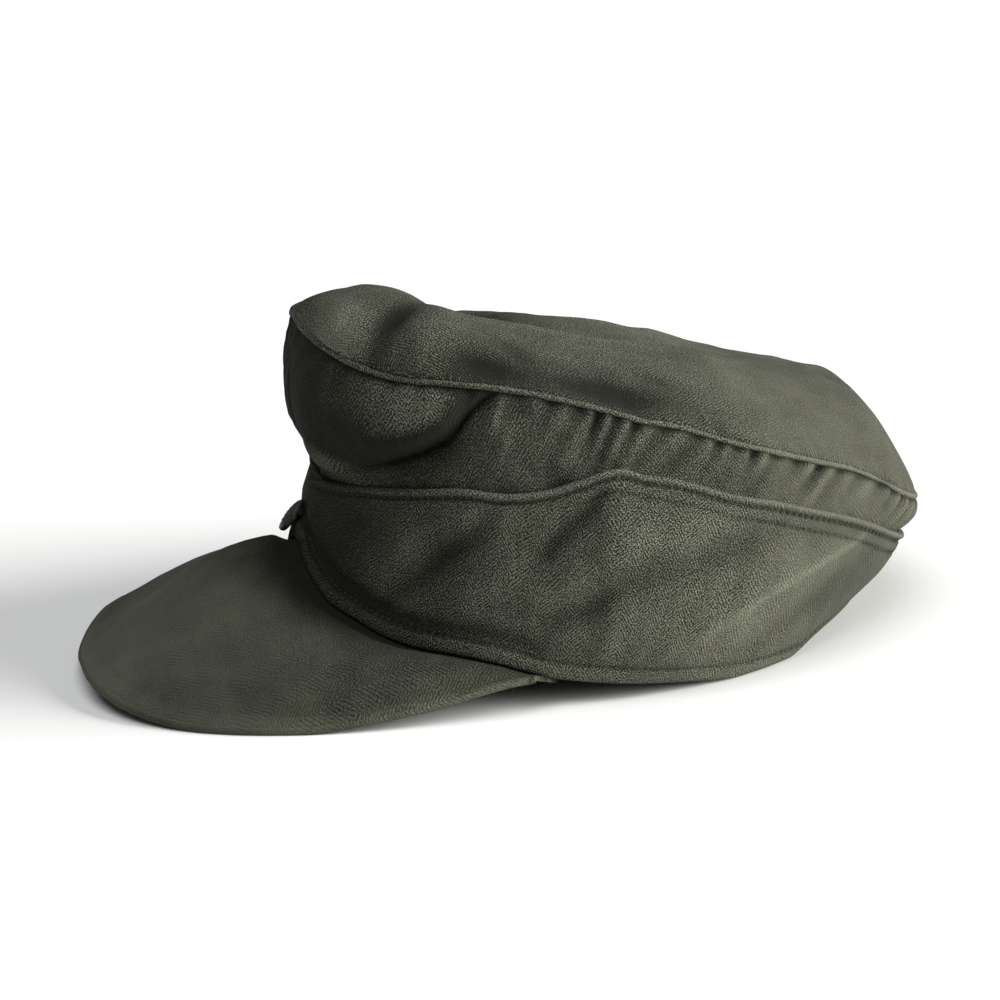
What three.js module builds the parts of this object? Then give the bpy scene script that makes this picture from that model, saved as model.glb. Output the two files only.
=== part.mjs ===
import * as THREE from 'three';

// A cloth field cap lying on a table, in millimetres. The peak points to -Y, the wearer's left is +X.
// Angles go round the head: 0 at the front centre, 180 at the back, below 0 on the wearer's right.

// Walls and the air between pieces that touch
const crownWall = 1.6;
const turnUpWall = 2;
const peakWall = 3.2;
const seat = 0.3;

// Half ovals of the three lines round the cap and of the peak's edge, blunter than an ellipse over power 2.
const rimPlan = { halfWidth: 85.5, front: 92.5, rear: 99, centreY: 0, frontPower: 2.05, rearPower: 2.05 };
const turnUpPlan = { halfWidth: 78, front: 95, rear: 110.5, centreY: 10, frontPower: 2.2, rearPower: 2.6 };
const crownPlan = { halfWidth: 68, front: 107, rear: 115, centreY: 15, frontPower: 2.2, rearPower: 2.5 };
const peakPlan = { halfWidth: 88, front: 141.5, centreY: -35, frontPower: 2.21 };
const peakRightPower = 2.7;    // the peak's corner is blunter on the wearer's right
const peakAside = 3.2;         // and its tip lies this far to the left

// Heights over the table of the rim, of the turn-up's upper edge and of the crown seam.
// A rim below 0 is pressed flat on the table.
const heights = [
  { angle: 0, rim: 44, turnUp: 67, crown: 124.8 },
  { angle: 10, rim: 35.6, turnUp: 68.8, crown: 122 },
  { angle: 20, rim: 28.1, turnUp: 70.5, crown: 118.6 },
  { angle: 30, rim: 23.5, turnUp: 71.9, crown: 114.7 },
  { angle: 42, rim: 19.7, turnUp: 73.6, crown: 110.9 },
  { angle: 54, rim: 18.1, turnUp: 74.7, crown: 109.3 },
  { angle: 64, rim: 15.2, turnUp: 72.9, crown: 107.3 },
  { angle: 72, rim: 11, turnUp: 73.7, crown: 104.1 },
  { angle: 79, rim: 8.7, turnUp: 76.4, crown: 100 },
  { angle: 86, rim: 6.6, turnUp: 78.4, crown: 94.6 },
  { angle: 92, rim: 4.9, turnUp: 73, crown: 88.6 },
  { angle: 100, rim: 3, turnUp: 64.7, crown: 80.1 },
  { angle: 108, rim: 0.8, turnUp: 59.5, crown: 73.7 },
  { angle: 116, rim: -0.6, turnUp: 54.1, crown: 67.9 },
  { angle: 126, rim: -0.3, turnUp: 48, crown: 61.5 },
  { angle: 134, rim: 3.3, turnUp: 42.8, crown: 55.1 },
  { angle: 146, rim: 5.8, turnUp: 34.9, crown: 45.6 },
  { angle: 160, rim: 5.5, turnUp: 28.5, crown: 38.5 },
  { angle: 180, rim: 5, turnUp: 25, crown: 35 },
];

// Underside of the peak's edge over the table, higher in front on the right
const peakEdge = [
  { angle: 0, left: 6.3, right: 6.3 },
  { angle: 8, left: 5.2, right: 4.1 },
  { angle: 16, left: 4, right: 4.1 },
  { angle: 24, left: 2.5, right: 6.1 },
  { angle: 33, left: 0.8, right: 8 },
  { angle: 41, left: -0.1, right: 4.7 },
  { angle: 55, left: -0.5, right: 0.4 },
  { angle: 62, left: 0.4, right: 0.4 },
  { angle: 69, left: 2.4, right: 2.4 },
  { angle: 78, left: 5.5, right: 5.5 },
  { angle: 90, left: 10.6, right: 10.6 },
];
const peakEdgeDepth = 2.6;
const peakCrown = 10.8;        // how far the peak arches over a straight line from seam to edge
const peakArchForward = 0.77;  // below 1 the arch is highest nearer the seam
const peakArchStart = 0.12;    // share of the blade over which the arch lifts off the seam
const peakArchSides = 0.7;     // how slowly the arch fades towards the ends of the seam
const peakEndWall = 1.4;       // the peak thins towards the ends of its seam
const peakSeamEnd = 75;        // the peak is sewn to the rim between these angles, left and right
const peakThinsFrom = 50;
const peakLedge = 0.6;         // flat part of the peak that shows below the turn-up

// Top panel from front to back: heights of the ridge on the left, of the hollow and of the ridge on the right
const topRidges = [
  { y: -92, left: 124.8, hollow: 124.8, right: 124.8 },
  { y: -87, left: 128.4, hollow: 128.4, right: 125.6 },
  { y: -76, left: 131.6, hollow: 131.2, right: 127.4 },
  { y: -63, left: 132.4, hollow: 131.4, right: 126.6 },
  { y: -50, left: 130.2, hollow: 127, right: 121 },
  { y: -35, left: 124.4, hollow: 116.6, right: 110.6 },
  { y: -10, left: 116.6, hollow: 107.4, right: 105 },
  { y: 5, left: 112.6, hollow: 104.4, right: 103.6 },
  { y: 30, left: 107, hollow: 100.6, right: 99.2 },
  { y: 45, left: 103.6, hollow: 98, right: 96 },
  { y: 62, left: 96.6, hollow: 93, right: 89.6 },
  { y: 80, left: 89.6, hollow: 87.4, right: 84.4 },
  { y: 95, left: 84, hollow: 83.2, right: 80.6 },
  { y: 107, left: 77, hollow: 77, right: 74.6 },
  { y: 115, left: 66, hollow: 66, right: 64 },
  { y: 122, left: 53, hollow: 53, right: 51.6 },
  { y: 127, left: 43, hollow: 43, right: 42.4 },
  { y: 130, left: 35, hollow: 35, right: 35 },
];
const leftRidgeAt = 0.42;      // ridges as shares of the panel's half width
const rightRidgeAt = 0.5;
const shoulderPower = 3;
const shoulderRound = 0.6;

// The fold that hangs over the turn-up in front, as a share of the side panel above the turn-up.
// Bulge is what hangs out above the fold, crease is what it cuts in and droop is how far its lip sinks.
const frontFold = [
  { angle: 0, share: 0.06, bulge: 11, crease: 1, droop: 0.5 },
  { angle: 12, share: 0.06, bulge: 10.5, crease: 1.6, droop: 0.8 },
  { angle: 22, share: 0.12, bulge: 9.5, crease: 2.2, droop: 1.2 },
  { angle: 34, share: 0.22, bulge: 8, crease: 2.8, droop: 1.6 },
  { angle: 46, share: 0.37, bulge: 6, crease: 3.2, droop: 1.6 },
  { angle: 52, share: 0.49, bulge: 5, crease: 3.2, droop: 1.2 },
  { angle: 58, share: 0.75, bulge: 3, crease: 2.6, droop: 0.6 },
  { angle: 64, share: 0.96, bulge: 0.8, crease: 0.8, droop: 0 },
  { angle: 70, share: 1, bulge: 0, crease: 0, droop: 0 },
];
const creaseWidth = 6.5;
const bulgeLow = 0.8;          // below 1 the bulge is fullest nearer the fold
const lipOverFold = 1.4;       // how far the lip is over the fold, in crease widths
const seamHold = 0.12;         // share of the strip that the crown seam holds in
const edgeHold = 0.05;         // and that the turn-up's edge holds in
const rightFoldShare = 0.6;    // the same fold is shallower on the wearer's right
const rightFoldFrom = -40;     // from this angle on

// At the back the wall sags out over the rim and the strip above the turn-up stands out
const backSag = 2.2;
const backStandOut = 3;
const backFrom = 115;

// Long soft draws across the turn-up, each a line from one place to another with a height and a width.
// A place is an angle and a share of the turn-up's own height.
const draws = [
  { from: 128, fromShare: 0.86, to: 84, toShare: 0.08, rise: 2.4, width: 10 },
  { from: 103, fromShare: 0.98, to: 66, toShare: 0.5, rise: 1.8, width: 9 },
  { from: 56, fromShare: 0.9, to: 36, toShare: 0.3, rise: 1.2, width: 9 },
  { from: 150, fromShare: 0.9, to: 118, toShare: 0.15, rise: 1.6, width: 11 },
];
const drawReach = 1.25;        // how far a draw fades out past its ends
const drawTopHold = 0.2;       // shares of the turn-up that its two edges hold flat
const drawLowHold = 0.15;
const girthPerDegree = 1.5;    // cloth round the cap for one degree

// The turn-up's left end laps over its right end just left of the front centre
const leftEnd = 5;
const rightEnd = 15;
const lapSinksFrom = 18;
const lapSinksTo = 28;
const lapRise = 3;             // the ledge of the peak widens over this angle before the left end

// Button on the right end, tilted back and turned to the right, and its dome as shares of radius and thickness
const button = {
  radius: 6.5, thickness: 3.4, shankRadius: 1.8, shankLength: 2.4, angle: -3, height: 46.6, tilt: 42, turn: 14,
};
const buttonDome = [
  { across: 0.9, high: 0.08 },
  { across: 1, high: 0.36 },
  { across: 0.95, high: 0.66 },
  { across: 0.7, high: 0.9 },
  { across: 0, high: 1 },
];

// Mesh steps
const stepAngle = 5;
const turnUpRows = 5;
const stripRows = 10;
const topRings = 9;
const ringSpacing = 1.3;       // over 1 the rings stand closer at the seam
const peakRows = 6;
const buttonSides = 20;
const smallStep = 0.04;
const seamInset = 0.04;        // where the top panel's slope at its seam is taken
const mitreStretch = 1.15;     // a mitre is longer than the wall is thick

const radians = THREE.MathUtils.degToRad;
const clamp = THREE.MathUtils.clamp;
const easeBetween = THREE.MathUtils.smoothstep;

// Smooth curve through one column of a table, level where a table of angles ends
function along(rows, key, column, place) {
  const last = rows.length - 1;
  const at = clamp(place, rows[0][key], rows[last][key]);
  let low = 0;
  while (low < last - 1 && at >= rows[low + 1][key]) low += 1;
  const gap = (index) => rows[index + 1][key] - rows[index][key];
  const rise = (index) => (rows[index + 1][column] - rows[index][column]) / gap(index);
  const slopeAt = (index) => {
    if (index === 0 || index === last) return key === 'angle' ? 0 : rise(Math.min(index, last - 1));
    const before = gap(index - 1);
    const after = gap(index);
    return (rise(index - 1) * after + rise(index) * before) / (before + after);
  };
  const width = gap(low);
  const t = (at - rows[low][key]) / width;
  const back = 1 - t;
  return rows[low][column] * (1 + 2 * t) * back * back
    + slopeAt(low) * width * t * back * back
    + rows[low + 1][column] * t * t * (3 - 2 * t)
    + slopeAt(low + 1) * width * t * t * (t - 1);
}

// Point of a half oval at an angle, mirrored for angles below 0
function onPlan(plan, angle) {
  const forward = Math.cos(radians(angle));
  const sideways = Math.sin(radians(angle));
  const power = forward >= 0 ? plan.frontPower : plan.rearPower;
  const reach = forward >= 0 ? plan.front : plan.rear;
  const x = Math.sign(sideways) * plan.halfWidth * Math.abs(sideways) ** (2 / power);
  const y = plan.centreY - Math.sign(forward) * reach * Math.abs(forward) ** (2 / power);
  return new THREE.Vector3(x, y, 0);
}

function rimPoint(angle) {
  const point = onPlan(rimPlan, angle);
  point.z = Math.max(0, along(heights, 'angle', 'rim', Math.abs(angle)));
  return point;
}

function turnUpLine(angle) {
  const point = onPlan(turnUpPlan, angle);
  point.z = along(heights, 'angle', 'turnUp', Math.abs(angle));
  return point;
}

function crownSeam(angle) {
  const point = onPlan(crownPlan, angle);
  point.z = along(heights, 'angle', 'crown', Math.abs(angle));
  return point;
}

// Share of the side's height at which the turn-up ends
function turnUpShare(angle) {
  const below = turnUpLine(angle).distanceTo(rimPoint(angle));
  const above = crownSeam(angle).distanceTo(turnUpLine(angle));
  return below / (below + above);
}

// Smooth side of the crown from the rim (0) to the crown seam (1), curved through the turn-up's edge
function smoothSide(angle, share) {
  const middle = turnUpShare(angle);
  const rim = (share - middle) * (share - 1) / middle;
  const edge = share * (share - 1) / (middle * (middle - 1));
  const seam = share * (share - middle) / (1 - middle);
  return rimPoint(angle).multiplyScalar(rim)
    .addScaledVector(turnUpLine(angle), edge)
    .addScaledVector(crownSeam(angle), seam);
}

// Outward normal of a surface given by angle and share
function normalOf(surface, angle, share) {
  const shareStep = smallStep / 20;
  const round = surface(angle + smallStep, share).sub(surface(angle - smallStep, share));
  const above = surface(angle, Math.min(1, share + shareStep));
  const up = above.sub(surface(angle, Math.max(0, share - shareStep)));
  return round.cross(up).normalize();
}

// How far the cloth stands out of the smooth side, and how far the fold's lip sinks
function sideFold(angle, share) {
  const around = Math.abs(angle);
  const middle = turnUpShare(angle);
  const strip = (share - middle) / (1 - middle);
  const low = share / middle;
  const atBack = easeBetween(around, backFrom, 180);
  if (strip <= 0) return { out: atBack * backSag * Math.sin(Math.PI * clamp(low, 0, 1)), down: 0 };
  const deep = angle < 0 ? THREE.MathUtils.lerp(rightFoldShare, 1, easeBetween(angle, rightFoldFrom, 0)) : 1;
  const foldAt = along(frontFold, 'angle', 'share', around);
  const above = clamp((strip - foldAt) / Math.max(1 - foldAt, smallStep), 0, 1);
  const length = crownSeam(angle).distanceTo(turnUpLine(angle));
  const fromFold = (strip - foldAt) * length / creaseWidth;
  const atSeam = easeBetween(1 - strip, 0, seamHold);
  const bulge = along(frontFold, 'angle', 'bulge', around) * Math.sin(Math.PI * above ** bulgeLow);
  const crease = along(frontFold, 'angle', 'crease', around) * Math.exp(-fromFold * fromFold);
  const droop = along(frontFold, 'angle', 'droop', around) * Math.exp(-((fromFold - lipOverFold) ** 2));
  const atEdge = easeBetween(strip, 0, edgeHold);
  const standOut = atBack * backStandOut * Math.sin(Math.PI * Math.min(1, strip));
  return { out: (bulge - crease * atEdge) * deep * atSeam + standOut, down: droop * deep * atSeam * atEdge };
}

// Outside of the crown's side
function sidePoint(angle, share) {
  const fold = sideFold(angle, share);
  const point = smoothSide(angle, share);
  if (fold.out !== 0) point.addScaledVector(normalOf(smoothSide, angle, share), fold.out);
  point.z -= fold.down;
  return point;
}

// Half width and seam height of the top panel at a distance y
function panelAcross(y) {
  const front = y < crownPlan.centreY;
  const reach = front ? crownPlan.front : crownPlan.rear;
  const power = front ? crownPlan.frontPower : crownPlan.rearPower;
  const away = clamp(Math.abs(y - crownPlan.centreY) / reach, 0, 1);
  const quarter = THREE.MathUtils.radToDeg(Math.acos(away ** (power / 2)));
  const angle = front ? quarter : 180 - quarter;
  return {
    halfWidth: crownPlan.halfWidth * (1 - away ** power) ** (1 / power),
    seam: along(heights, 'angle', 'crown', angle),
  };
}

// Height of the top panel: two ridges with a hollow between them, and a round shoulder down to the seam
function topHeight(x, y) {
  const across = panelAcross(y);
  const share = clamp(x / Math.max(across.halfWidth, smallStep), -1, 1);
  const ridgeAt = share > 0 ? leftRidgeAt : rightRidgeAt;
  const ridge = along(topRidges, 'y', share > 0 ? 'left' : 'right', y);
  const hollow = along(topRidges, 'y', 'hollow', y);
  const climb = Math.sin(Math.min(1, Math.abs(share) / ridgeAt) * Math.PI / 2) ** 2;
  const height = hollow + (ridge - hollow) * climb;
  const shoulder = (1 - Math.abs(share) ** shoulderPower) ** shoulderRound;
  return across.seam + (height - across.seam) * shoulder;
}

// Outside of the top panel from the seam (0) to its centre (1)
function topPoint(angle, inward) {
  const point = onPlan(crownPlan, angle);
  point.x *= 1 - inward;
  point.y += (crownPlan.centreY - point.y) * inward;
  point.z = topHeight(point.x, point.y);
  return point;
}

function topNormal(point) {
  const slopeX = (topHeight(point.x + 1, point.y) - topHeight(point.x - 1, point.y)) / 2;
  const slopeY = (topHeight(point.x, point.y + 1) - topHeight(point.x, point.y - 1)) / 2;
  return new THREE.Vector3(-slopeX, -slopeY, 1).normalize();
}

// Level direction out of the cap at an angle of a plan
function outward(plan, angle) {
  const run = onPlan(plan, angle + smallStep).sub(onPlan(plan, angle - smallStep));
  return new THREE.Vector3(run.y, -run.x, 0).normalize();
}

// Both cloths end under the crown seam on the slope halfway between them
function seamMitre(angle) {
  const side = normalOf(sidePoint, angle, 1);
  const top = topNormal(topPoint(angle, seamInset));
  return side.add(top).normalize().multiplyScalar(-crownWall * mitreStretch);
}

// One closed body from an outer and an inner grid of points. Rows run up, columns run round with the angle.
function closedBody(outer, inner, closesRound) {
  const positions = [];
  const faces = [];
  const known = new Map();
  const vertex = (point) => {
    const key = point.toArray().map((value) => value.toFixed(4)).join();
    if (!known.has(key)) {
      known.set(key, positions.length / 3);
      positions.push(...point.toArray());
    }
    return known.get(key);
  };
  const quad = (...corners) => {
    const [a, b, c, d] = corners.map(vertex);
    for (const face of [[a, b, c], [a, c, d]]) {
      if (new Set(face).size === 3) faces.push(...face);
    }
  };
  const rows = outer.length - 1;
  const columns = outer[0].length - 1;
  const next = (j) => (closesRound && j === columns ? 0 : j + 1);
  const lastColumn = closesRound ? columns : columns - 1;
  for (let j = 0; j <= lastColumn; j += 1) {
    const k = next(j);
    for (let i = 0; i < rows; i += 1) {
      quad(outer[i][j], outer[i][k], outer[i + 1][k], outer[i + 1][j]);
      quad(inner[i][j], inner[i + 1][j], inner[i + 1][k], inner[i][k]);
    }
    quad(inner[0][j], inner[0][k], outer[0][k], outer[0][j]);
    quad(outer[rows][j], outer[rows][k], inner[rows][k], inner[rows][j]);
  }
  if (!closesRound) {
    for (let i = 0; i < rows; i += 1) {
      quad(inner[i][0], outer[i][0], outer[i + 1][0], inner[i + 1][0]);
      quad(outer[i][columns], inner[i][columns], inner[i + 1][columns], outer[i + 1][columns]);
    }
  }
  const geometry = new THREE.BufferGeometry();
  geometry.setAttribute('position', new THREE.Float32BufferAttribute(positions, 3));
  geometry.setIndex(faces);
  geometry.computeVertexNormals();
  return geometry;
}

function steps(from, to, step) {
  const count = Math.round((to - from) / step);
  return Array.from({ length: count + 1 }, (unused, index) => from + (to - from) * index / count);
}

// Side panel of one side, +1 left and -1 right, from the rim up to the crown seam
function sidePanel(side) {
  const angles = side > 0 ? steps(0, 180, stepAngle) : steps(-180, 0, stepAngle);
  const shares = (angle) => {
    const middle = turnUpShare(angle);
    const low = steps(0, middle, middle / turnUpRows);
    const high = steps(middle, 1, (1 - middle) / stripRows);
    return low.concat(high.slice(1));
  };
  const offCentre = (point) => point.setX(side * Math.max(seat / 2, side * point.x));
  const outer = [];
  const inner = [];
  for (let row = 0; row <= turnUpRows + stripRows; row += 1) {
    const last = row === turnUpRows + stripRows;
    const outside = angles.map((angle) => {
      const point = sidePoint(angle, shares(angle)[row]);
      return last ? point.setZ(point.z - seat / 2) : point;
    });
    const inside = angles.map((angle, column) => {
      if (last) return outside[column].clone().add(seamMitre(angle));
      const inwards = row === 0 ? outward(rimPlan, angle) : normalOf(sidePoint, angle, shares(angle)[row]);
      return outside[column].clone().addScaledVector(inwards, -crownWall);
    });
    outer.push(outside.map((point) => offCentre(point.clone())));
    inner.push(inside.map((point) => offCentre(point)));
  }
  return closedBody(outer, inner, false);
}

// Puffed oval top panel
function topPanel() {
  const angles = steps(-180, 180 - stepAngle, stepAngle);
  const outer = [];
  const inner = [];
  for (let ring = 0; ring <= topRings; ring += 1) {
    const inward = (ring / topRings) ** ringSpacing;
    const outside = angles.map((angle) => topPoint(angle, inward).add({ x: 0, y: 0, z: seat / 2 }));
    outer.push(outside);
    inner.push(outside.map((point, column) => (ring === 0
      ? point.clone().add(seamMitre(angles[column]))
      : point.clone().addScaledVector(topNormal(point), -crownWall))));
  }
  return closedBody(outer, inner, true);
}

// Height of the draws over the plain turn-up
function drawRelief(angle, share) {
  const around = Math.abs(angle);
  const tall = turnUpLine(angle).distanceTo(rimPoint(angle));
  let relief = 0;
  for (const draw of draws) {
    const fromStart = (at, atShare) => (
      new THREE.Vector2((at - draw.from) * girthPerDegree, (atShare - draw.fromShare) * tall));
    const run = fromStart(draw.to, draw.toShare);
    const place = fromStart(around, share);
    const at = place.dot(run) / run.lengthSq();
    const off = Math.abs(place.cross(run)) / run.length() / draw.width;
    const fade = Math.max(0, 1 - ((at - 0.5) * 2 / drawReach) ** 2);
    relief += draw.rise * fade * Math.exp(-off * off);
  }
  return relief * easeBetween(1 - share, 0, drawTopHold) * easeBetween(share, 0, drawLowHold);
}

// Turned-up band: once round from its left end at the front, over the back, to its right end below the lap
function turnUpBand() {
  const turns = steps(leftEnd, 360 + rightEnd, stepAngle);
  const outer = [];
  const inner = [];
  for (let row = 0; row <= turnUpRows; row += 1) {
    const insideRow = [];
    const outsideRow = [];
    for (const turn of turns) {
      const angle = turn > 180 ? turn - 360 : turn;
      const share = row / turnUpRows;
      const sideShare = share * turnUpShare(angle);
      const onSide = sidePoint(angle, sideShare);
      const out = row === 0 ? outward(rimPlan, angle) : normalOf(sidePoint, angle, sideShare);
      const lapped = turn < 180 ? 1 - easeBetween(turn, lapSinksFrom, lapSinksTo) : 0;
      const off = seat + lapped * (turnUpWall + seat) + drawRelief(angle, share);
      insideRow.push(onSide.clone().addScaledVector(out, off));
      outsideRow.push(onSide.clone().addScaledVector(out, off + turnUpWall));
    }
    inner.push(insideRow);
    outer.push(outsideRow);
  }
  return closedBody(outer, inner, false);
}

// Lower line of the peak's edge
function peakOutline(angle) {
  const right = angle < 0;
  const point = onPlan({ ...peakPlan, frontPower: right ? peakRightPower : peakPlan.frontPower }, angle);
  point.x += peakAside * Math.cos(radians(angle)) ** 2;
  point.z = Math.max(0, along(peakEdge, 'angle', right ? 'right' : 'left', Math.abs(angle)));
  return point;
}

// Stiff peak: a flat ledge under the rim, then an arched blade down to its edge
function peakBlade() {
  const rimAngles = steps(-peakSeamEnd, peakSeamEnd, stepAngle);
  const lapWall = turnUpWall + seat;
  const outer = [];
  const inner = [];
  for (let row = 0; row <= peakRows + 1; row += 1) {
    const top = [];
    const under = [];
    for (const rimAngle of rimAngles) {
      const out = outward(rimPlan, rimAngle);
      const rim = rimPoint(rimAngle).setZ(rimPoint(rimAngle).z - seat);
      const lapStarts = easeBetween(rimAngle, leftEnd - lapRise, leftEnd);
      const lapped = lapStarts * (1 - easeBetween(rimAngle, lapSinksFrom, lapSinksTo));
      const ledge = rim.clone().addScaledVector(out, seat + turnUpWall + lapWall * lapped + peakLedge);
      const edgeAngle = rimAngle * 90 / peakSeamEnd;
      const edge = peakOutline(edgeAngle);
      const bare = 1 - row / peakRows;
      if (row > peakRows) {
        top.push(rim.clone().addScaledVector(out, -crownWall));
      } else {
        const point = ledge.clone().lerp(edge.clone().setZ(edge.z + peakEdgeDepth), bare);
        const fade = Math.cos(radians(edgeAngle)) ** peakArchSides * easeBetween(bare, 0, peakArchStart);
        point.z += peakCrown * fade * Math.sin(Math.PI * bare ** peakArchForward);
        top.push(point);
      }
      const last = top[top.length - 1];
      const thin = easeBetween(Math.abs(rimAngle), peakThinsFrom, peakSeamEnd);
      const below = row === 0 ? peakEdgeDepth : THREE.MathUtils.lerp(peakWall, peakEndWall, thin);
      under.push(last.clone().setZ(Math.max(0, last.z - below)));
    }
    outer.push(top);
    inner.push(under);
  }
  return closedBody(outer, inner, false);
}

// Domed button on a short shank, its face along +Y of the lathe
function buttonBody() {
  const { radius, thickness, shankRadius, shankLength } = button;
  const profile = [
    new THREE.Vector2(0, -shankLength),
    new THREE.Vector2(shankRadius, -shankLength),
    new THREE.Vector2(shankRadius, 0),
    ...buttonDome.map(({ across, high }) => new THREE.Vector2(radius * across, thickness * high)),
  ];
  return new THREE.LatheGeometry(profile, buttonSides);
}

// The shank's end stands a seat's width off the turn-up's outer face
function placeButton(mesh) {
  const { angle } = button;
  const share = (button.height - rimPoint(angle).z) / (turnUpLine(angle).z - rimPoint(angle).z);
  const face = sidePoint(angle, share * turnUpShare(angle));
  const out = normalOf(sidePoint, angle, share * turnUpShare(angle));
  const facing = new THREE.Vector3(0, -Math.cos(radians(button.tilt)), Math.sin(radians(button.tilt)));
  facing.applyAxisAngle(new THREE.Vector3(0, 0, 1), -radians(button.turn));
  const lean = Math.acos(clamp(out.dot(facing), -1, 1));
  const clear = turnUpWall + 2 * seat + button.shankRadius * Math.sin(lean);
  mesh.quaternion.setFromUnitVectors(new THREE.Vector3(0, 1, 0), facing);
  mesh.position.copy(face).addScaledVector(out, clear).addScaledVector(facing, button.shankLength);
}

function clothMesh(name, geometry, colour, roughness) {
  const material = new THREE.MeshStandardMaterial({ color: colour, roughness, metalness: 0 });
  const mesh = new THREE.Mesh(geometry, material);
  mesh.name = name;
  return mesh;
}

const cap = new THREE.Group();
cap.add(clothMesh('crown_top', topPanel(), 0x4b4f40, 0.95));
cap.add(clothMesh('crown_side_left', sidePanel(1), 0x44483a, 0.95));
cap.add(clothMesh('crown_side_right', sidePanel(-1), 0x44483a, 0.95));
cap.add(clothMesh('turn_up', turnUpBand(), 0x43473a, 0.95));
cap.add(clothMesh('peak', peakBlade(), 0x3f4337, 0.95));
const frontButton = clothMesh('button', buttonBody(), 0x2c2e2a, 0.6);
placeButton(frontButton);
cap.add(frontButton);

// The origin is the middle of the cap's box, on the table
cap.updateMatrixWorld(true);
const box = new THREE.Box3().setFromObject(cap, true);
cap.position.set(-(box.min.x + box.max.x) / 2, -(box.min.y + box.max.y) / 2, -box.min.z);
cap.updateMatrixWorld(true);

export default cap;
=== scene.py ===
import bmesh
import bpy
import numpy as np
from mathutils import Matrix, Vector


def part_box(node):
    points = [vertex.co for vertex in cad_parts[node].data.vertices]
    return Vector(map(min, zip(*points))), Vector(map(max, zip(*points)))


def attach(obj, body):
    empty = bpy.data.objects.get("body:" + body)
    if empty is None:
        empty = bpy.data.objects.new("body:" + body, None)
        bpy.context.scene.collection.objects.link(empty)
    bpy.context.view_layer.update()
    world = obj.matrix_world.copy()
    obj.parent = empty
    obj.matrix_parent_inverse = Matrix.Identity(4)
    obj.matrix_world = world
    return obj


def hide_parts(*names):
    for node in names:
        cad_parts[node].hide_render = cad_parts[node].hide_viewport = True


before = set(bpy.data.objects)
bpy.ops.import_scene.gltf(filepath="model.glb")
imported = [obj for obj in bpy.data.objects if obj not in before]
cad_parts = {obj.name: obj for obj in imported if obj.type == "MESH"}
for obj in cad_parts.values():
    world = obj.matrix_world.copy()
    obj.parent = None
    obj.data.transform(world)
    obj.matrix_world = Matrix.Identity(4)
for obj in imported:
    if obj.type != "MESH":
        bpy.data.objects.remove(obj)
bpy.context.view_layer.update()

# A cloth field cap lying on its rim. Shapes are worked out in millimetres and placed in metres.
mm = 0.001
halfTurn = 180
tiny = 0.04
clothUnit = 100  # a UV map of cloth holds its millimetres divided by this


# Rows of values read under one line of names
def readRows(names, rows):
    return [dict(zip(names.split(), row)) for row in rows]


# The cap's own lines. Angles go round the head: 0 in front, 180 at the back, below 0 on the wearer's right.
# A plan is the oval that a line makes from above, squarer where its power is higher
capShape = {"crownWall": 1.6, "seat": 0.3}
rimPlan, turnUpPlan, crownPlan, peakPlan = readRows("halfWidth front rear centreY frontPower rearPower", [
    (85.5, 92.5, 99, 0, 2.05, 2.05),
    (78, 95, 110.5, 10, 2.2, 2.6),
    (68, 107, 115, 15, 2.2, 2.5),
    (88, 141.5, 0, -35, 2.21, 2),
])
capPlans = {"rim": rimPlan, "turnUp": turnUpPlan, "crown": crownPlan}
lineHeights = {
    "angle": [0, 10, 20, 30, 42, 54, 64, 72, 79, 86, 92, 100, 108, 116, 126, 134, 146, 160, 180],
    "rim": [44, 35.6, 28.1, 23.5, 19.7, 18.1, 15.2, 11, 8.7, 6.6, 4.9, 3, 0.8, -0.6, -0.3, 3.3, 5.8, 5.5, 5],
    "turnUp": [67, 68.8, 70.5, 71.9, 73.6, 74.7, 72.9, 73.7, 76.4, 78.4, 73, 64.7, 59.5, 54.1, 48, 42.8, 34.9,
               28.5, 25],
    "crown": [124.8, 122, 118.6, 114.7, 110.9, 109.3, 107.3, 104.1, 100, 94.6, 88.6, 80.1, 73.7, 67.9, 61.5,
              55.1, 45.6, 38.5, 35],
}
# The right half of the crown seam dips where the near side of the top hides it
farDip = {"angle": -70, "wide": 12, "depth": 3}

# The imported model's origin is the middle of its box, so the shapes move along Y with it
peakFront = peakPlan["centreY"] - peakPlan["front"]
capShift = np.array([0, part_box("peak")[0].y / mm - peakFront, 0])


# Smooth step from 0 at low to 1 at high, which falls where low is the larger of the two
def ease(value, low, high):
    t = np.clip((np.asarray(value, float) - low) / (high - low), 0, 1)
    return t * t * (3 - 2 * t)


def bump(distance, width):
    return np.exp(-(np.asarray(distance, float) / width) ** 2)


# A soft band: its strength, its middle and its half width
def band(value, strength, middle, width):
    return strength * bump(value - middle, width)


def unit(vectors):
    return vectors / np.maximum(np.linalg.norm(vectors, axis=-1, keepdims=True), 1e-12)


# Smooth curve through one column of a table, level where a table of angles ends
def along(table, column, place):
    key = next(iter(table))
    places = np.array(table[key], float)
    values = np.array(table[column], float)
    at = np.clip(np.asarray(place, float), places[0], places[-1])
    gaps = np.diff(places)
    rises = np.diff(values) / gaps
    slopes = np.zeros_like(values)
    slopes[1:-1] = (rises[:-1] * gaps[1:] + rises[1:] * gaps[:-1]) / (gaps[1:] + gaps[:-1])
    if key != "angle":
        slopes[0], slopes[-1] = rises[0], rises[-1]
    low = np.clip(np.searchsorted(places, at, side="right") - 1, 0, len(gaps) - 1)
    t = (at - places[low]) / gaps[low]
    start = values[low] * (1 + 2 * t) + slopes[low] * gaps[low] * t
    end = values[low + 1] * (3 - 2 * t) + slopes[low + 1] * gaps[low] * (t - 1)
    return start * (1 - t) ** 2 + end * t * t


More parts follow.
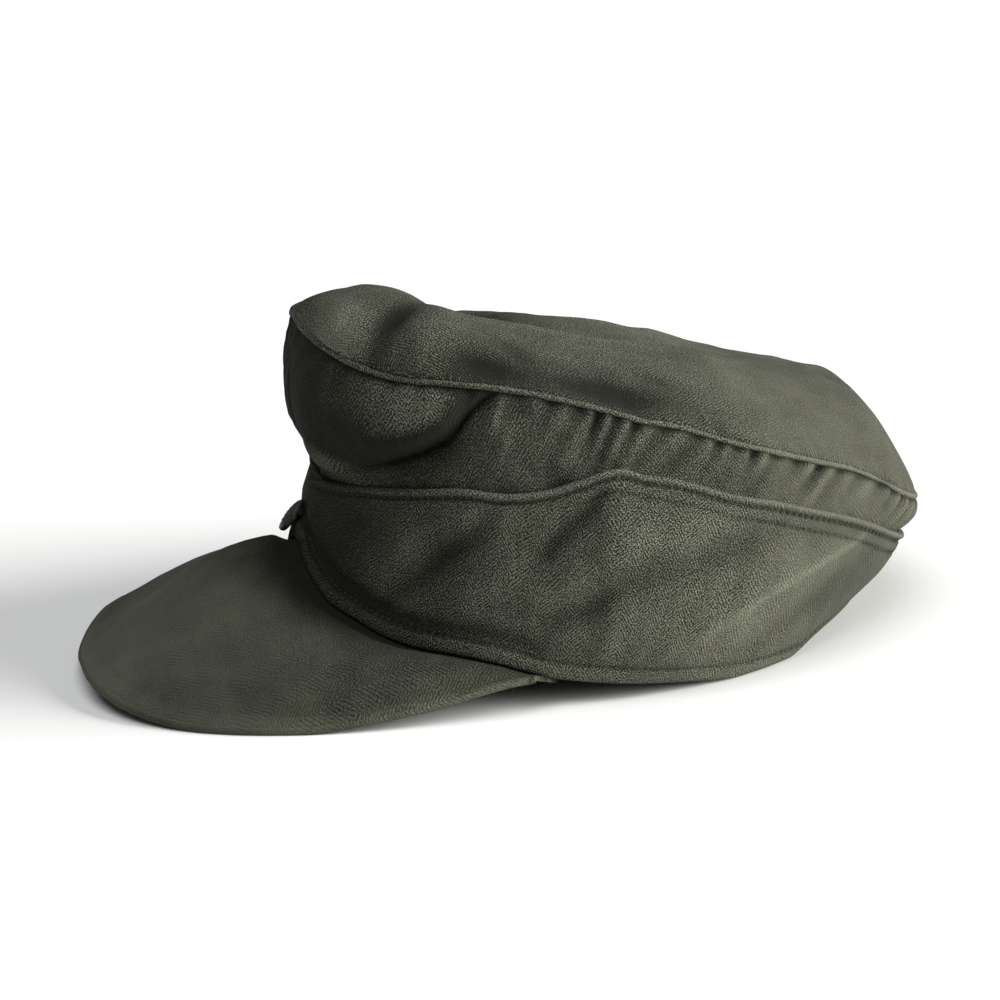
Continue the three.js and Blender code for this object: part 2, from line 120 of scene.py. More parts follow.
# Gentle unevenness between about -1 and 1, the same on each run
def softNoise(across, up, size, seed, waves=16):
    rng = np.random.default_rng(seed)
    total = np.zeros(np.broadcast(across, up).shape)
    for _ in range(waves):
        turn = rng.uniform(0, np.pi)
        pitch = size * rng.uniform(0.7, 1.8)
        phase = rng.uniform(0, 2 * np.pi)
        total += np.sin(2 * np.pi * (across * np.cos(turn) + up * np.sin(turn)) / pitch + phase)
    return total / np.sqrt(waves)


# Several noises added up, each with its strength, its size and its seed
def addedNoise(across, up, noises):
    return sum(strength * softNoise(across, up, size, seed) for strength, size, seed in noises)


# Waves along a run that lean by their slant and whose pitch wanders
def wavesAlong(run, off, wave):
    wander = wave["wander"] * softNoise(run, 0, *wave["noise"])
    return wave["depth"] * np.sin(2 * np.pi * (run + off * wave["slant"]) / wave["pitch"] + wander)


# Sum of soft patches, each with its middle, its two half widths and its rise
def patches(places, across, up):
    total = np.zeros(np.broadcast(across, up).shape)
    for place in places:
        near = bump(across - place["across"], place["wide"]) * bump(up - place["up"], place["tall"])
        total += place["rise"] * near
    return total


def onPlan(plan, angle):
    forward = np.cos(np.radians(angle))
    sideways = np.sin(np.radians(angle))
    ahead = forward >= 0
    power = np.where(ahead, plan["frontPower"], plan["rearPower"])
    reach = np.where(ahead, plan["front"], plan["rear"])
    x = np.sign(sideways) * plan["halfWidth"] * np.abs(sideways) ** (2 / power)
    y = plan["centreY"] - np.sign(forward) * reach * np.abs(forward) ** (2 / power)
    return x, y


def seamHeight(angle):
    dip = farDip["depth"] * bump(angle - farDip["angle"], farDip["wide"])
    return along(lineHeights, "crown", np.abs(angle)) - dip


def lineRound(line, angle):
    x, y = onPlan(capPlans[line], angle)
    z = seamHeight(angle) if line == "crown" else along(lineHeights, line, np.abs(angle))
    return np.stack([x, y, np.maximum(z, 0)], -1)


# Level direction out of the rim
def outwardLevel(angle):
    ahead = onPlan(rimPlan, angle + tiny)
    behind = onPlan(rimPlan, angle - tiny)
    return unit(np.stack([ahead[1] - behind[1], behind[0] - ahead[0], np.zeros_like(ahead[0])], -1))


# Lengths up the side at an angle: of the turn-up, and of the strip that shows over it
def sideLengths(angle):
    rim, edge, seam = [lineRound(line, angle) for line in ("rim", "turnUp", "crown")]
    return np.linalg.norm(edge - rim, axis=-1), np.linalg.norm(seam - edge, axis=-1)


def turnUpShare(angle):
    low, high = sideLengths(angle)
    return low / (low + high)


# Place on that strip, 0 at the turn-up's edge and 1 at the crown seam, and the strip's length
def stripPlace(angle, share):
    middle = turnUpShare(angle)
    return (share - middle) / (1 - middle), sideLengths(angle)[1]


# Smooth side of the crown from the rim (0) to the crown seam (1), curved through the turn-up's edge
def smoothSide(angle, share):
    angle, share = np.broadcast_arrays(np.asarray(angle, float), np.asarray(share, float))
    middle = turnUpShare(angle)[..., None]
    share = share[..., None]
    rim = lineRound("rim", angle) * (share - middle) * (share - 1) / middle
    edge = lineRound("turnUp", angle) * share * (share - 1) / (middle * (middle - 1))
    seam = lineRound("crown", angle) * share * (share - middle) / (1 - middle)
    return rim + edge + seam


def normalOf(surface, angle, share):
    step = tiny / 20
    around = surface(angle + tiny, share) - surface(angle - tiny, share)
    up = surface(angle, np.minimum(share + step, 1)) - surface(angle, np.maximum(share - step, 0))
    return unit(np.cross(around, up))


# The fold that hangs over the turn-up in front: its place on the strip, its bulge, its crease and its lip
frontFold = {
    "angle": [0, 12, 22, 34, 46, 52, 58, 64, 70],
    "share": [0.06, 0.06, 0.12, 0.22, 0.37, 0.49, 0.75, 0.96, 1],
    "bulge": [11, 10.5, 9.5, 8, 6, 5, 3, 0.8, 0],
    "crease": [0.2, 0.2, 0.5, 2.6, 4.2, 4.4, 3.2, 0.8, 0],
    "droop": [0, 0, 0.3, 1.0, 1.4, 1.2, 0.4, 0, 0],
    "sharp": [0, 0, 0.15, 0.7, 1, 1, 0.8, 0.4, 0],
}
foldShape = {
    "creaseWidth": 6.5, "bulgeLow": 0.8, "lipOverFold": 1.4, "seamHold": 0.12, "edgeHold": 0.05,
    "rightShare": 0.6, "rightFrom": -40, "backSag": 2.2, "backStandOut": 3, "backFrom": 115,
}


# The fold is shallower on the wearer's right
def foldDepth(angle):
    right = foldShape["rightShare"]
    return np.where(angle < 0, right + (1 - right) * ease(angle, foldShape["rightFrom"], 0), 1)


def sideFold(angle, share):
    shape = foldShape
    around = np.abs(angle)
    strip, length = stripPlace(angle, share)
    atBack = ease(around, shape["backFrom"], halfTurn)
    sag = atBack * shape["backSag"] * np.sin(np.pi * np.clip(share / turnUpShare(angle), 0, 1))
    foldAt = along(frontFold, "share", around)
    above = np.clip((strip - foldAt) / np.maximum(1 - foldAt, tiny), 0, 1)
    fromFold = (strip - foldAt) * length / shape["creaseWidth"]
    atSeam = foldDepth(angle) * ease(1 - strip, 0, shape["seamHold"])
    atEdge = ease(strip, 0, shape["edgeHold"])
    bulge = along(frontFold, "bulge", around) * np.sin(np.pi * above ** shape["bulgeLow"])
    crease = along(frontFold, "crease", around) * bump(fromFold, 1)
    droop = along(frontFold, "droop", around) * bump(fromFold - shape["lipOverFold"], 1)
    standOut = atBack * shape["backStandOut"] * np.sin(np.pi * np.clip(strip, 0, 1))
    out = np.where(strip <= 0, sag, (bulge - crease * atEdge) * atSeam + standOut)
    down = np.where(strip <= 0, 0, droop * atSeam * atEdge)
    return out, down


# Outside of the crown's side as the turn-up lies on it
def sideForm(angle, share):
    angle, share = np.broadcast_arrays(np.asarray(angle, float), np.asarray(share, float))
    out, down = sideFold(angle, share)
    point = smoothSide(angle, share) + normalOf(smoothSide, angle, share) * out[..., None]
    point[..., 2] -= down
    return point


# Length along each column of points, from its first row
def runLength(points):
    steps = np.linalg.norm(np.diff(points, axis=0), axis=-1)
    return np.concatenate([np.zeros_like(steps[:1]), np.cumsum(steps, 0)])


def addObject(name, data):
    added = bpy.data.objects.new(name, data)
    bpy.context.scene.collection.objects.link(added)
    return added


# One mesh from a grid of points: rows run up or across a section, columns run round or along
def gridMesh(name, points, uvs, material, closesRows=False, closesColumns=False, capEnds=False, wearAndPaintedLight=None):
    rows, columns = points.shape[:2]
    if closesRows and len(uvs) == rows:
        uvs = np.concatenate([uvs, uvs[:1]])
    if closesColumns and uvs.shape[1] == columns:
        uvs = np.concatenate([uvs, uvs[:, :1]], 1)
    ids = np.arange(rows * columns).reshape(rows, columns)
    rowCount = rows if closesRows else rows - 1
    columnCount = columns if closesColumns else columns - 1
    i, j = np.indices((rowCount, columnCount)).reshape(2, -1)
    nextRow, nextColumn = (i + 1) % rows, (j + 1) % columns
    quads = np.stack([ids[i, j], ids[i, nextColumn], ids[nextRow, nextColumn], ids[nextRow, j]], -1)
    corners = np.stack([uvs[i, j], uvs[i, j + 1], uvs[i + 1, j + 1], uvs[i + 1, j]], 1).reshape(-1, 2)
    faces = quads.tolist()
    if capEnds:
        faces += [ids[::-1, 0].tolist(), ids[:, -1].tolist()]
        corners = np.concatenate([corners, uvs[:rows, 0][::-1], uvs[:rows, columns - 1]])
    mesh = bpy.data.meshes.new(name)
    mesh.from_pydata(((points.reshape(-1, 3) + capShift) * mm).tolist(), [], faces)
    uvLayer = mesh.uv_layers.new(name="Cloth")
    uvLayer.data.foreach_set("uv", corners.astype(np.float32).ravel())
    # Per point tone of the cloth: real wear together with painted light and painted shade
    if wearAndPaintedLight is not None:
        attribute = mesh.attributes.new("wearAndPaintedLight", "FLOAT", "POINT")
        attribute.data.foreach_set("value", wearAndPaintedLight.astype(np.float32).ravel())
    work = bmesh.new()
    work.from_mesh(mesh)
    bmesh.ops.remove_doubles(work, verts=work.verts, dist=2e-6)
    bmesh.ops.dissolve_degenerate(work, edges=work.edges, dist=1e-6)
    if work.calc_volume(signed=True) < 0:
        bmesh.ops.reverse_faces(work, faces=work.faces)
    work.to_mesh(mesh)
    work.free()
    mesh.shade_smooth()
    mesh.materials.append(material)
    return addObject(name, mesh)


# Rows of an outer face and fewer rows of an inner one, as one closed section
def wallSection(outer, inner):
    return np.concatenate([outer, inner[::-1]], 0)


def finishPiece(piece, slotName, *nodeNames):
    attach(piece, "root")
    if nodeNames:
        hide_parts(*nodeNames)
    return piece


# Camera at the height, side and tilt from which the cap is seen
cameraView = {
    "azimuth": 76.06, "elevation": 19.77, "roll": 3.18, "distance": 1.2, "focalPixels": 3300,
    "sightColumn": 566.4, "sightRow": 617.7, "imageSize": 1000, "sensor": 36,
}


def placeCamera(view):
    azimuth, elevation, roll = [np.radians(view[key]) for key in ("azimuth", "elevation", "roll")]
    right = Vector((np.cos(azimuth), np.sin(azimuth), 0))
    level = Vector((np.sin(azimuth), -np.cos(azimuth), 0))
    back = level * np.cos(elevation) + Vector((0, 0, np.sin(elevation)))
    up = back.cross(right)
    across = right * np.cos(roll) - up * np.sin(roll)
    upright = right * np.sin(roll) + up * np.cos(roll)
    middle = view["imageSize"] / 2
    aside = (middle - view["sightColumn"]) / view["focalPixels"]
    aloft = (view["sightRow"] - middle) / view["focalPixels"]
    behind = (back - across * aside - upright * aloft).normalized()
    sideX = (across - behind * across.dot(behind)).normalized()
    sideY = behind.cross(sideX)
    data = bpy.data.cameras.new("camera")
    data.sensor_width = view["sensor"]
    data.lens = view["focalPixels"] / view["imageSize"] * view["sensor"]
    data.dof.use_dof = False
    camera = addObject("camera", data)
    place = Matrix((sideX, sideY, behind)).transposed().to_4x4()
    place.translation = back * view["distance"] + Vector(capShift * mm)
    camera.matrix_world = place
    bpy.context.scene.camera = camera


placeCamera(cameraView)
print("camera placed")


def newMaterial(name):
    material = bpy.data.materials.new(name)
    material.use_nodes = True
    return material, material.node_tree, material.node_tree.nodes["Principled BSDF"].inputs


# Soft studio light: a broad key from behind the cap's left, a wide one overhead and a weak fill
lightSet = {
    "key": {"toward": (0.36, 0.9, 0.3), "spread": 36, "strength": 6.2, "colour": (1, 0.99, 0.96)},
    "overhead": {"toward": (0.1, -0.1, 1), "spread": 60, "strength": 1.7, "colour": (0.98, 0.99, 1)},
    "worldStrength": 0.06, "worldColour": (1, 1, 1, 1), "lampsAway": 2,
    "floorColour": (0.93, 0.93, 0.925, 1), "floorRoughness": 0.9, "floorSpecular": 0.1, "floorHalf": 14,
}


def placeSurroundings(settings):
    for name in ("key", "overhead"):
        light = settings[name]
        data = bpy.data.lights.new(name, "SUN")
        data.angle = np.radians(light["spread"])
        data.energy = light["strength"]
        data.color = light["colour"]
        lamp = addObject(name, data)
        toward = Vector(light["toward"]).normalized()
        lamp.location = toward * settings["lampsAway"]
        lamp.rotation_euler = toward.to_track_quat("Z", "Y").to_euler()
    world = bpy.data.worlds.new("studio")
    world.use_nodes = True
    sky = world.node_tree.nodes["Background"]
    sky.inputs["Color"].default_value = settings["worldColour"]
    sky.inputs["Strength"].default_value = settings["worldStrength"]
    bpy.context.scene.world = world
    bpy.context.scene.view_settings.view_transform = "Standard"
    half = settings["floorHalf"]
    mesh = bpy.data.meshes.new("floor")
    corners = [(-half, -half, 0), (half, -half, 0), (half, half, 0), (-half, half, 0)]
    mesh.from_pydata(corners, [], [(0, 1, 2, 3)])
    paint, _, shader = newMaterial("floorPaint")
    shader["Base Color"].default_value = settings["floorColour"]
    shader["Roughness"].default_value = settings["floorRoughness"]
    shader["Specular IOR Level"].default_value = settings["floorSpecular"]
    mesh.materials.append(paint)
    floor = addObject("floor", mesh)


placeSurroundings(lightSet)
print("floor and lights placed")


# Small helpers for node trees
def joinOrSet(tree, socket, value):
    if isinstance(value, bpy.types.NodeSocket):
        tree.links.new(value, socket)
    elif value is not None:
        socket.default_value = value


def mathIn(tree):
    def mathOf(operation, *values):
        node = tree.nodes.new("ShaderNodeMath")
        node.operation = operation
        for socket, value in zip(node.inputs, values):
            joinOrSet(tree, socket, value)
        return node.outputs[0]

    return mathOf


def noiseOf(tree, vector, scale, detail=2, roughness=0.5):
    node = tree.nodes.new("ShaderNodeTexNoise")
    for name, given in (("Vector", vector), ("Scale", scale), ("Detail", detail), ("Roughness", roughness)):
        joinOrSet(tree, node.inputs[name], given)
    return node.outputs["Fac"]


def mixColour(tree, share, first, second):
    node = tree.nodes.new("ShaderNodeMix")
    node.data_type = "RGBA"
    for index, given in ((0, share), (6, first), (7, second)):
        joinOrSet(tree, node.inputs[index], given)
    return node.outputs[2]


def spread(tree, value, low, high, toLow=0.0, toHigh=1.0):
    node = tree.nodes.new("ShaderNodeMapRange")
    node.interpolation_type = "SMOOTHSTEP"
    names = ("Value", "From Min", "From Max", "To Min", "To Max")
    for name, given in zip(names, (value, low, high, toLow, toHigh)):
        joinOrSet(tree, node.inputs[name], given)
    return node.outputs[0]


def addRelief(tree, shader, height, strength, distance):
    relief = tree.nodes.new("ShaderNodeBump")
    relief.inputs["Strength"].default_value = strength
    relief.inputs["Distance"].default_value = distance * mm
    tree.links.new(height, relief.inputs["Height"])
    tree.links.new(relief.outputs[0], shader["Normal"])


def nodeGroup(name, inputs, outputs):
    tree = bpy.data.node_groups.new(name, "ShaderNodeTree")
    for label, kind, value in inputs:
        socket = tree.interface.new_socket(label, in_out="INPUT", socket_type="NodeSocket" + kind)
        if value is not None:
            socket.default_value = value
    for label, kind in outputs:
        tree.interface.new_socket(label, in_out="OUTPUT", socket_type="NodeSocket" + kind)
    return tree, tree.nodes.new("NodeGroupInput").outputs, tree.nodes.new("NodeGroupOutput").inputs


# A group's node in a material, with the inputs set that a look names
def groupNode(tree, group, look):
    node = tree.nodes.new("ShaderNodeGroup")
    node.node_tree = group
    for socket in node.inputs:
        if socket.name in look:
            socket.default_value = look[socket.name]
    return node


# Noises of the weave, by scale per millimetre, with how far they move or shade the yarns
weaveNoise = {
    "wanderScale": 0.14, "wander": 2.4, "jitterScale": 0.95, "jitterDetail": 3, "jitterRoughness": 0.7,
    "grainScale": 1.6, "grainEdges": (0.4, 0.6), "grainRange": (1.1, 0.3),
    "fleckScale": 2.1, "fleckEdges": (0.44, 0.62), "fleckHeight": 0.3,
    "ribEdges": (0.1, 0.85), "floatRange": (0.22, 0.78), "yarnJitter": 0.9,
}


# Herringbone twill: ribs slant one way in one column and back in the next
def makeTwillGroup():
    weave = weaveNoise
    tree, given, made = nodeGroup(
        "herringboneTwill",
        [("Vector", "Vector", None), ("Column Width", "Float", 5.4), ("Rib Spacing", "Float", 1.6),
         ("Slant", "Float", 1.3), ("Yarn Pitch", "Float", 0.6), ("Unevenness", "Float", 1.15)],
        [("Ribs", "Float"), ("Height", "Float"), ("Flecks", "Float")],
    )
    calc = mathIn(tree)
    scaled = tree.nodes.new("ShaderNodeVectorMath")
    scaled.operation = "SCALE"
    tree.links.new(given["Vector"], scaled.inputs[0])
    scaled.inputs["Scale"].default_value = clothUnit
    parts = tree.nodes.new("ShaderNodeSeparateXYZ")
    tree.links.new(scaled.outputs[0], parts.inputs[0])

    def grainOf(scale, detail=1, roughness=0.5):
        return noiseOf(tree, scaled.outputs[0], scale, detail, roughness)

    def turnsOf(place, pitch):
        return calc("SINE", calc("MULTIPLY", calc("DIVIDE", place, pitch), 2 * np.pi))

    wander = calc("SUBTRACT", grainOf(weave["wanderScale"], 2), 0.5)
    across = calc("MULTIPLY_ADD", wander, weave["wander"], parts.outputs["X"])
    place = calc("DIVIDE", across, given["Column Width"])
    column = calc("FLOOR", place)
    inColumn = calc("SUBTRACT", calc("SUBTRACT", place, column), 0.5)
    side = calc("MULTIPLY_ADD", calc("FLOORED_MODULO", column, 2.0), 2.0, -1.0)
    slanted = calc("MULTIPLY", calc("MULTIPLY", inColumn, given["Column Width"]), given["Slant"])
    jitter = grainOf(weave["jitterScale"], weave["jitterDetail"], weave["jitterRoughness"])
    jitter = calc("SUBTRACT", jitter, 0.5)
    climbed = calc("MULTIPLY_ADD", slanted, side, parts.outputs["Y"])
    uneven = calc("MULTIPLY_ADD", jitter, given["Unevenness"], climbed)
    wave = calc("MULTIPLY_ADD", turnsOf(uneven, given["Rib Spacing"]), 0.5, 0.5)
    # Each rib is a row of short floats of yarn, of uneven height and tone
    beat = calc("MULTIPLY_ADD", jitter, weave["yarnJitter"], across)
    floats = calc("MULTIPLY_ADD", turnsOf(beat, given["Yarn Pitch"]), *weave["floatRange"])
    grain = spread(tree, grainOf(weave["grainScale"]), *weave["grainEdges"])
    ribs = spread(tree, calc("MULTIPLY", wave, floats), *weave["ribEdges"])
    spotted = calc("MULTIPLY", ribs, calc("MULTIPLY_ADD", grain, *weave["grainRange"]))
    flecks = spread(tree, grainOf(weave["fleckScale"]), *weave["fleckEdges"])
    tree.links.new(spotted, made["Ribs"])
    tree.links.new(calc("MULTIPLY_ADD", flecks, weave["fleckHeight"], spotted), made["Height"])
    tree.links.new(flecks, made["Flecks"])
    return tree


# How the dye has faded, and where light is painted: noises by scale, detail and roughness, and places along Y
# in metres; towards the back the cloth is painted paler, as painted light from the key lamp behind the cap
dyeAndLightSettings = {
    "blotch": (14, 4, 0.55), "blotches": 0.5, "cloud": (55, 3, 0.6), "clouds": 0.22,
    "backFrom": (-0.08, 0.13), "ribs": 0.42, "flecks": 0.45, "threadMiddle": 0.36, "weaveByWearAndPaintedLight": 0.9,
    "weaveLimits": (0.25, 1.25), "plainMiddle": 0.005, "plainFrom": (0.045, 0.11), "plainWeave": 0.32,
    "wearAndPaintedLight": 0.6, "roughness": (-0.08, 0.95),
}


# Dye that has faded: blotches, pale ribs and threads; the back painted paler as painted light; the per point
# tone adds paler worn ridges and edges, painted shade in creases and patches of painted light and painted
# shade
def makeDyeAndLightGroup():
    colouring = dyeAndLightSettings
    tree, given, made = nodeGroup(
        "fadedDyeAndPaintedLight",
        [("Vector", "Vector", None), ("Dark", "Color", None), ("Pale", "Color", None), ("Ribs", "Float", 0.5),
         ("Flecks", "Float", 0.5), ("WearAndPaintedLight", "Float", 0.0), ("Contrast", "Float", 1.0), ("Tone", "Float", 0.3),
         ("Painted Light To Back", "Float", 0.3)],
        [("Colour", "Color"), ("Roughness", "Float")],
    )
    calc = mathIn(tree)
    parts = tree.nodes.new("ShaderNodeSeparateXYZ")
    tree.links.new(given["Vector"], parts.inputs[0])
    blotches = calc("SUBTRACT", noiseOf(tree, given["Vector"], *colouring["blotch"]), 0.5)
    clouds = calc("SUBTRACT", noiseOf(tree, given["Vector"], *colouring["cloud"]), 0.5)
    # Painted light: the cloth is painted paler towards the back, where the key lamp falls
    backward = calc("MULTIPLY", spread(tree, parts.outputs["Y"], *colouring["backFrom"]), given["Painted Light To Back"])
    threads = calc("MULTIPLY", given["Flecks"], colouring["flecks"])
    threads = calc("MULTIPLY_ADD", given["Ribs"], colouring["ribs"], threads)
    shown = calc("MULTIPLY_ADD", given["WearAndPaintedLight"], colouring["weaveByWearAndPaintedLight"], 1.0)
    shown = calc("MINIMUM", calc("MAXIMUM", shown, colouring["weaveLimits"][0]), colouring["weaveLimits"][1])
    fromMiddle = calc("ABSOLUTE", calc("ADD", parts.outputs["Y"], colouring["plainMiddle"]))
    shown = calc("MULTIPLY", shown, spread(tree, fromMiddle, *colouring["plainFrom"], 1.0, colouring["plainWeave"]))
    threads = calc("MULTIPLY", calc("SUBTRACT", threads, colouring["threadMiddle"]), given["Contrast"])
    woven = calc("MULTIPLY_ADD", threads, shown, given["Tone"])
    uneven = calc("MULTIPLY_ADD", blotches, colouring["blotches"], calc("MULTIPLY", clouds, colouring["clouds"]))
    share = calc("ADD", calc("ADD", woven, uneven), backward)
    total = calc("ADD", share, calc("MULTIPLY", given["WearAndPaintedLight"], colouring["wearAndPaintedLight"]))
    total.node.use_clamp = True
    tree.links.new(mixColour(tree, total, given["Dark"], given["Pale"]), made["Colour"])
    tree.links.new(calc("MULTIPLY_ADD", total, *colouring["roughness"]), made["Roughness"])
    return tree


twillGroup = makeTwillGroup()
dyeAndLightGroup = makeDyeAndLightGroup()


def clothMaterial(name, look):
    material, tree, shader = newMaterial(name)
    uv = tree.nodes.new("ShaderNodeUVMap")
    uv.uv_map = "Cloth"
    # The per point tone holds real wear together with painted light and painted shade
    wearAndPaintedLight = tree.nodes.new("ShaderNodeAttribute")
    wearAndPaintedLight.attribute_name = "wearAndPaintedLight"
    twill = groupNode(tree, twillGroup, look)
    tree.links.new(uv.outputs[0], twill.inputs["Vector"])
    colouring = groupNode(tree, dyeAndLightGroup, look)
    tree.links.new(tree.nodes.new("ShaderNodeTexCoord").outputs["Object"], colouring.inputs["Vector"])
    for key in ("Ribs", "Flecks"):
        tree.links.new(twill.outputs[key], colouring.inputs[key])
    tree.links.new(wearAndPaintedLight.outputs["Fac"], colouring.inputs["WearAndPaintedLight"])
    addRelief(tree, shader, twill.outputs["Height"], look["reliefStrength"], look["reliefDepth"])
    tree.links.new(colouring.outputs["Colour"], shader["Base Color"])
    tree.links.new(colouring.outputs["Roughness"], shader["Roughness"])
    for key in ("Specular IOR Level", "Sheen Weight", "Sheen Roughness"):
        shader[key].default_value = look[key]
    return material


clothLook = {
    "Column Width": 5.4, "Rib Spacing": 1.6, "Slant": 1.3, "Dark": (0.012, 0.0125, 0.0078, 1),
    "Pale": (0.222, 0.227, 0.168, 1), "Contrast": 1.75, "Tone": 0.28, "Painted Light To Back": 0.22,
    "reliefStrength": 1.0, "reliefDepth": 0.45, "Specular IOR Level": 0.15, "Sheen Weight": 0.03,
    "Sheen Roughness": 0.5,
}
# The peak's copy of the cloth is painted darker as painted shade, with a softer weave
peakLook = {
    **clothLook, "Dark": (0.014, 0.0138, 0.0098, 1), "Contrast": 0.5, "Tone": 0.2, "Painted Light To Back": 0,
    "reliefDepth": 0.2,
}
cloth = clothMaterial("herringboneCloth", clothLook)
peakCloth = clothMaterial("peakCloth", peakLook)
print("cloth materials made")


# Draws in the turn-up's cloth, on one side or both. Each is a ridge or a valley along a line of angles and
# shares of the height, with its half widths above and below the line, its rise and its tone, which is painted
# light along the ridges and painted shade along the valleys.
turnUpDraws = readRows("angle share above below rise tone sides", [
    ([84, 97, 110, 128, 142], [0, 0.21, 0.49, 0.82, 1], 6, 12, 2.6, 0.25, "both"),
    ([84, 97, 110.5, 128.5, 146], [-0.05, 0.21, 0.495, 0.82, 1.1], 1.5, 1.5, 0.7, 0.4, "left"),
    ([60, 74, 88, 102, 118], [0.2, 0.31, 0.45, 0.7, 0.96], 5, 4.5, -2.7, -0.35, "left"),
    ([60, 76, 92, 106], [0.36, 0.5, 0.7, 0.95], 6, 5, 1.8, 0.25, "both"),
    ([66, 77, 90], [0.6, 0.785, 0.98], 4, 3.5, -1.6, -0.55, "left"),
    ([30, 38, 48, 56, 64], [0.2, 0.33, 0.56, 0.7, 0.84], 5, 3.5, -1.9, -0.35, "left"),
    ([30, 40, 50, 62], [0.4, 0.62, 0.78, 0.95], 5, 5, 1.3, 0.2, "both"),
    ([48, 58, 70], [0.28, 0.42, 0.62], 5, 5, 1.3, 0.2, "left"),
    ([100, 118, 136], [0.02, 0.3, 0.6], 6, 4, -1.0, -0.12, "left"),
    ([115, 130, 150, 165], [0.15, 0.42, 0.72, 0.9], 6, 6, -1.4, -0.2, "right"),
    ([55, 70, 92, 106], [0.2, 0.42, 0.62, 0.85], 5, 5, -1.3, -0.2, "right"),
])
drawShape = {"girthPerDegree": 1.5, "fades": 0.3, "topHold": 0.2, "lowHold": 0.15}


# The draws added up, by their rise or by their tone of painted light and painted shade
def drawRelief(angle, share, tall, key="rise"):
    shape = drawShape
    relief = np.zeros(np.broadcast(angle, share).shape)
    for draw in turnUpDraws:
        around = {"both": np.abs(angle), "left": angle, "right": -angle}[draw["sides"]]
        line = along(draw, "share", around)
        first, last = draw["angle"][0], draw["angle"][-1]
        steep = (along(draw, "share", around + 1) - line) * tall / shape["girthPerDegree"]
        off = (share - line) * tall / np.sqrt(1 + steep ** 2)
        off = off / np.where(off > 0, draw["above"], draw["below"])
        ends = (last - first) * shape["fades"]
        fade = ease(around, first, first + ends) * ease(around, last, last - ends)
        relief += draw[key] * fade * np.exp(-off ** 2)
    return relief * ease(1 - share, 0, shape["topHold"]) * ease(share, 0, shape["lowHold"])


# Side panels of the crown: a hidden part under the turn-up and the strip over it
sideDetail = {
    "columns": 420, "hiddenRows": 30, "hiddenClearance": 0.4, "clearsOver": 0.06, "stripRows": 120,
    "rowSpacing": 1.12, "innerEvery": 5, "weaveTurn": 6,
    "sharpCrease": (2.4, 0, 1.8), "lip": (1, 7, 5), "lipOut": 1.3, "lipDroop": 0.8, "seamHold": 5,
    "edgeHold": 3, "puffsOverEdge": (0.6, 0.95),
    "pucker": {"depth": 2.0, "pitch": 8.8, "slant": 0.6, "wander": 2.3, "noise": (38, 5)},
    "puckerFront": 0.3, "puckerFrontTo": (52, 76), "puckerBackLoss": 0.35, "puckerBackFrom": (115, 150),
    "puckerSwell": 0.8, "swellNoises": [(0.35, 45, 9), (0.45, 14, 10)], "swellLimits": (0.45, 1.5),
    "puckerReach": 10, "reachShare": 0.8, "reachNoises": [(0.4, 20, 13)], "reachLimits": (0.35, 1.5),
    "puckerHold": 3, "unevenness": 0.3, "unevenNoises": [(1, 17, 11), (0.3, 7, 12)], "unevenHold": 4,
    # The relief's tone: raised cloth paler where worn, creases darker as painted shade; foldShade and
    # seamShade are painted shade
    "tuck": (1.1, 0, 1.3), "panelSeam": (0.7, 0, 0.9), "reliefWearAndShade": 0.24, "reliefWearAndShadeLimits": (-0.6, 0.4),
    "foldShade": 1.5, "foldShadeFrom": (-0.8, 0.4), "foldShadeTo": (13, 5), "seamShade": (0.45, 1.6, 1.3),
}
# Puffs and dents of the strip above the turn-up, by angle and share of the strip
stripPuffs = readRows("across up wide tall rise", [
    (14, 0.08, 14, 0.15, 3.7),
    (24, 0.34, 9, 0.16, -1.2),
    (66, 0.45, 7, 0.3, 0.9),
])
# Painted light and shade on the strip: painted shade over the front and the sides, painted light on the pouch
# above the fold and a soft painted highlight low at the front
stripPaintedLight = readRows("across up wide tall rise", [
    (-4, 0.5, 33, 1.0, -1.05),
    (15, 0.16, 7, 0.11, 0.65),
    (46, 0.76, 10, 0.2, 0.75),
    (30, 0.36, 14, 0.2, -0.55),
    (75, 0.5, 30, 1.0, -0.3),
    (130, 0.5, 34, 1.0, -0.24),
])
seamGirth = {"angle": np.linspace(-halfTurn, halfTurn, 1441)}
seamGirth["run"] = runLength(lineRound("crown", seamGirth["angle"]))


def girthAt(angle):
    return np.interp(angle, seamGirth["angle"], seamGirth["run"])


# Puckers that hang from the crown seam, weaker in front and at the back, of uneven strength and length
def sidePuckers(around, run, fromSeam):
    detail = sideDetail
    strength = detail["puckerFront"] + (1 - detail["puckerFront"]) * ease(around, *detail["puckerFrontTo"])
    strength = strength * (1 - detail["puckerBackLoss"] * ease(around, *detail["puckerBackFrom"]))
    swell = detail["puckerSwell"] + addedNoise(run, 0, detail["swellNoises"])
    reach = detail["reachShare"] + addedNoise(run, 0, detail["reachNoises"])
    reach = detail["puckerReach"] * np.clip(reach, *detail["reachLimits"])
    pucker = wavesAlong(run, fromSeam, detail["pucker"]) * strength * np.clip(swell, *detail["swellLimits"])
    return pucker * np.exp(-fromSeam / reach) * ease(fromSeam, 0, detail["puckerHold"])


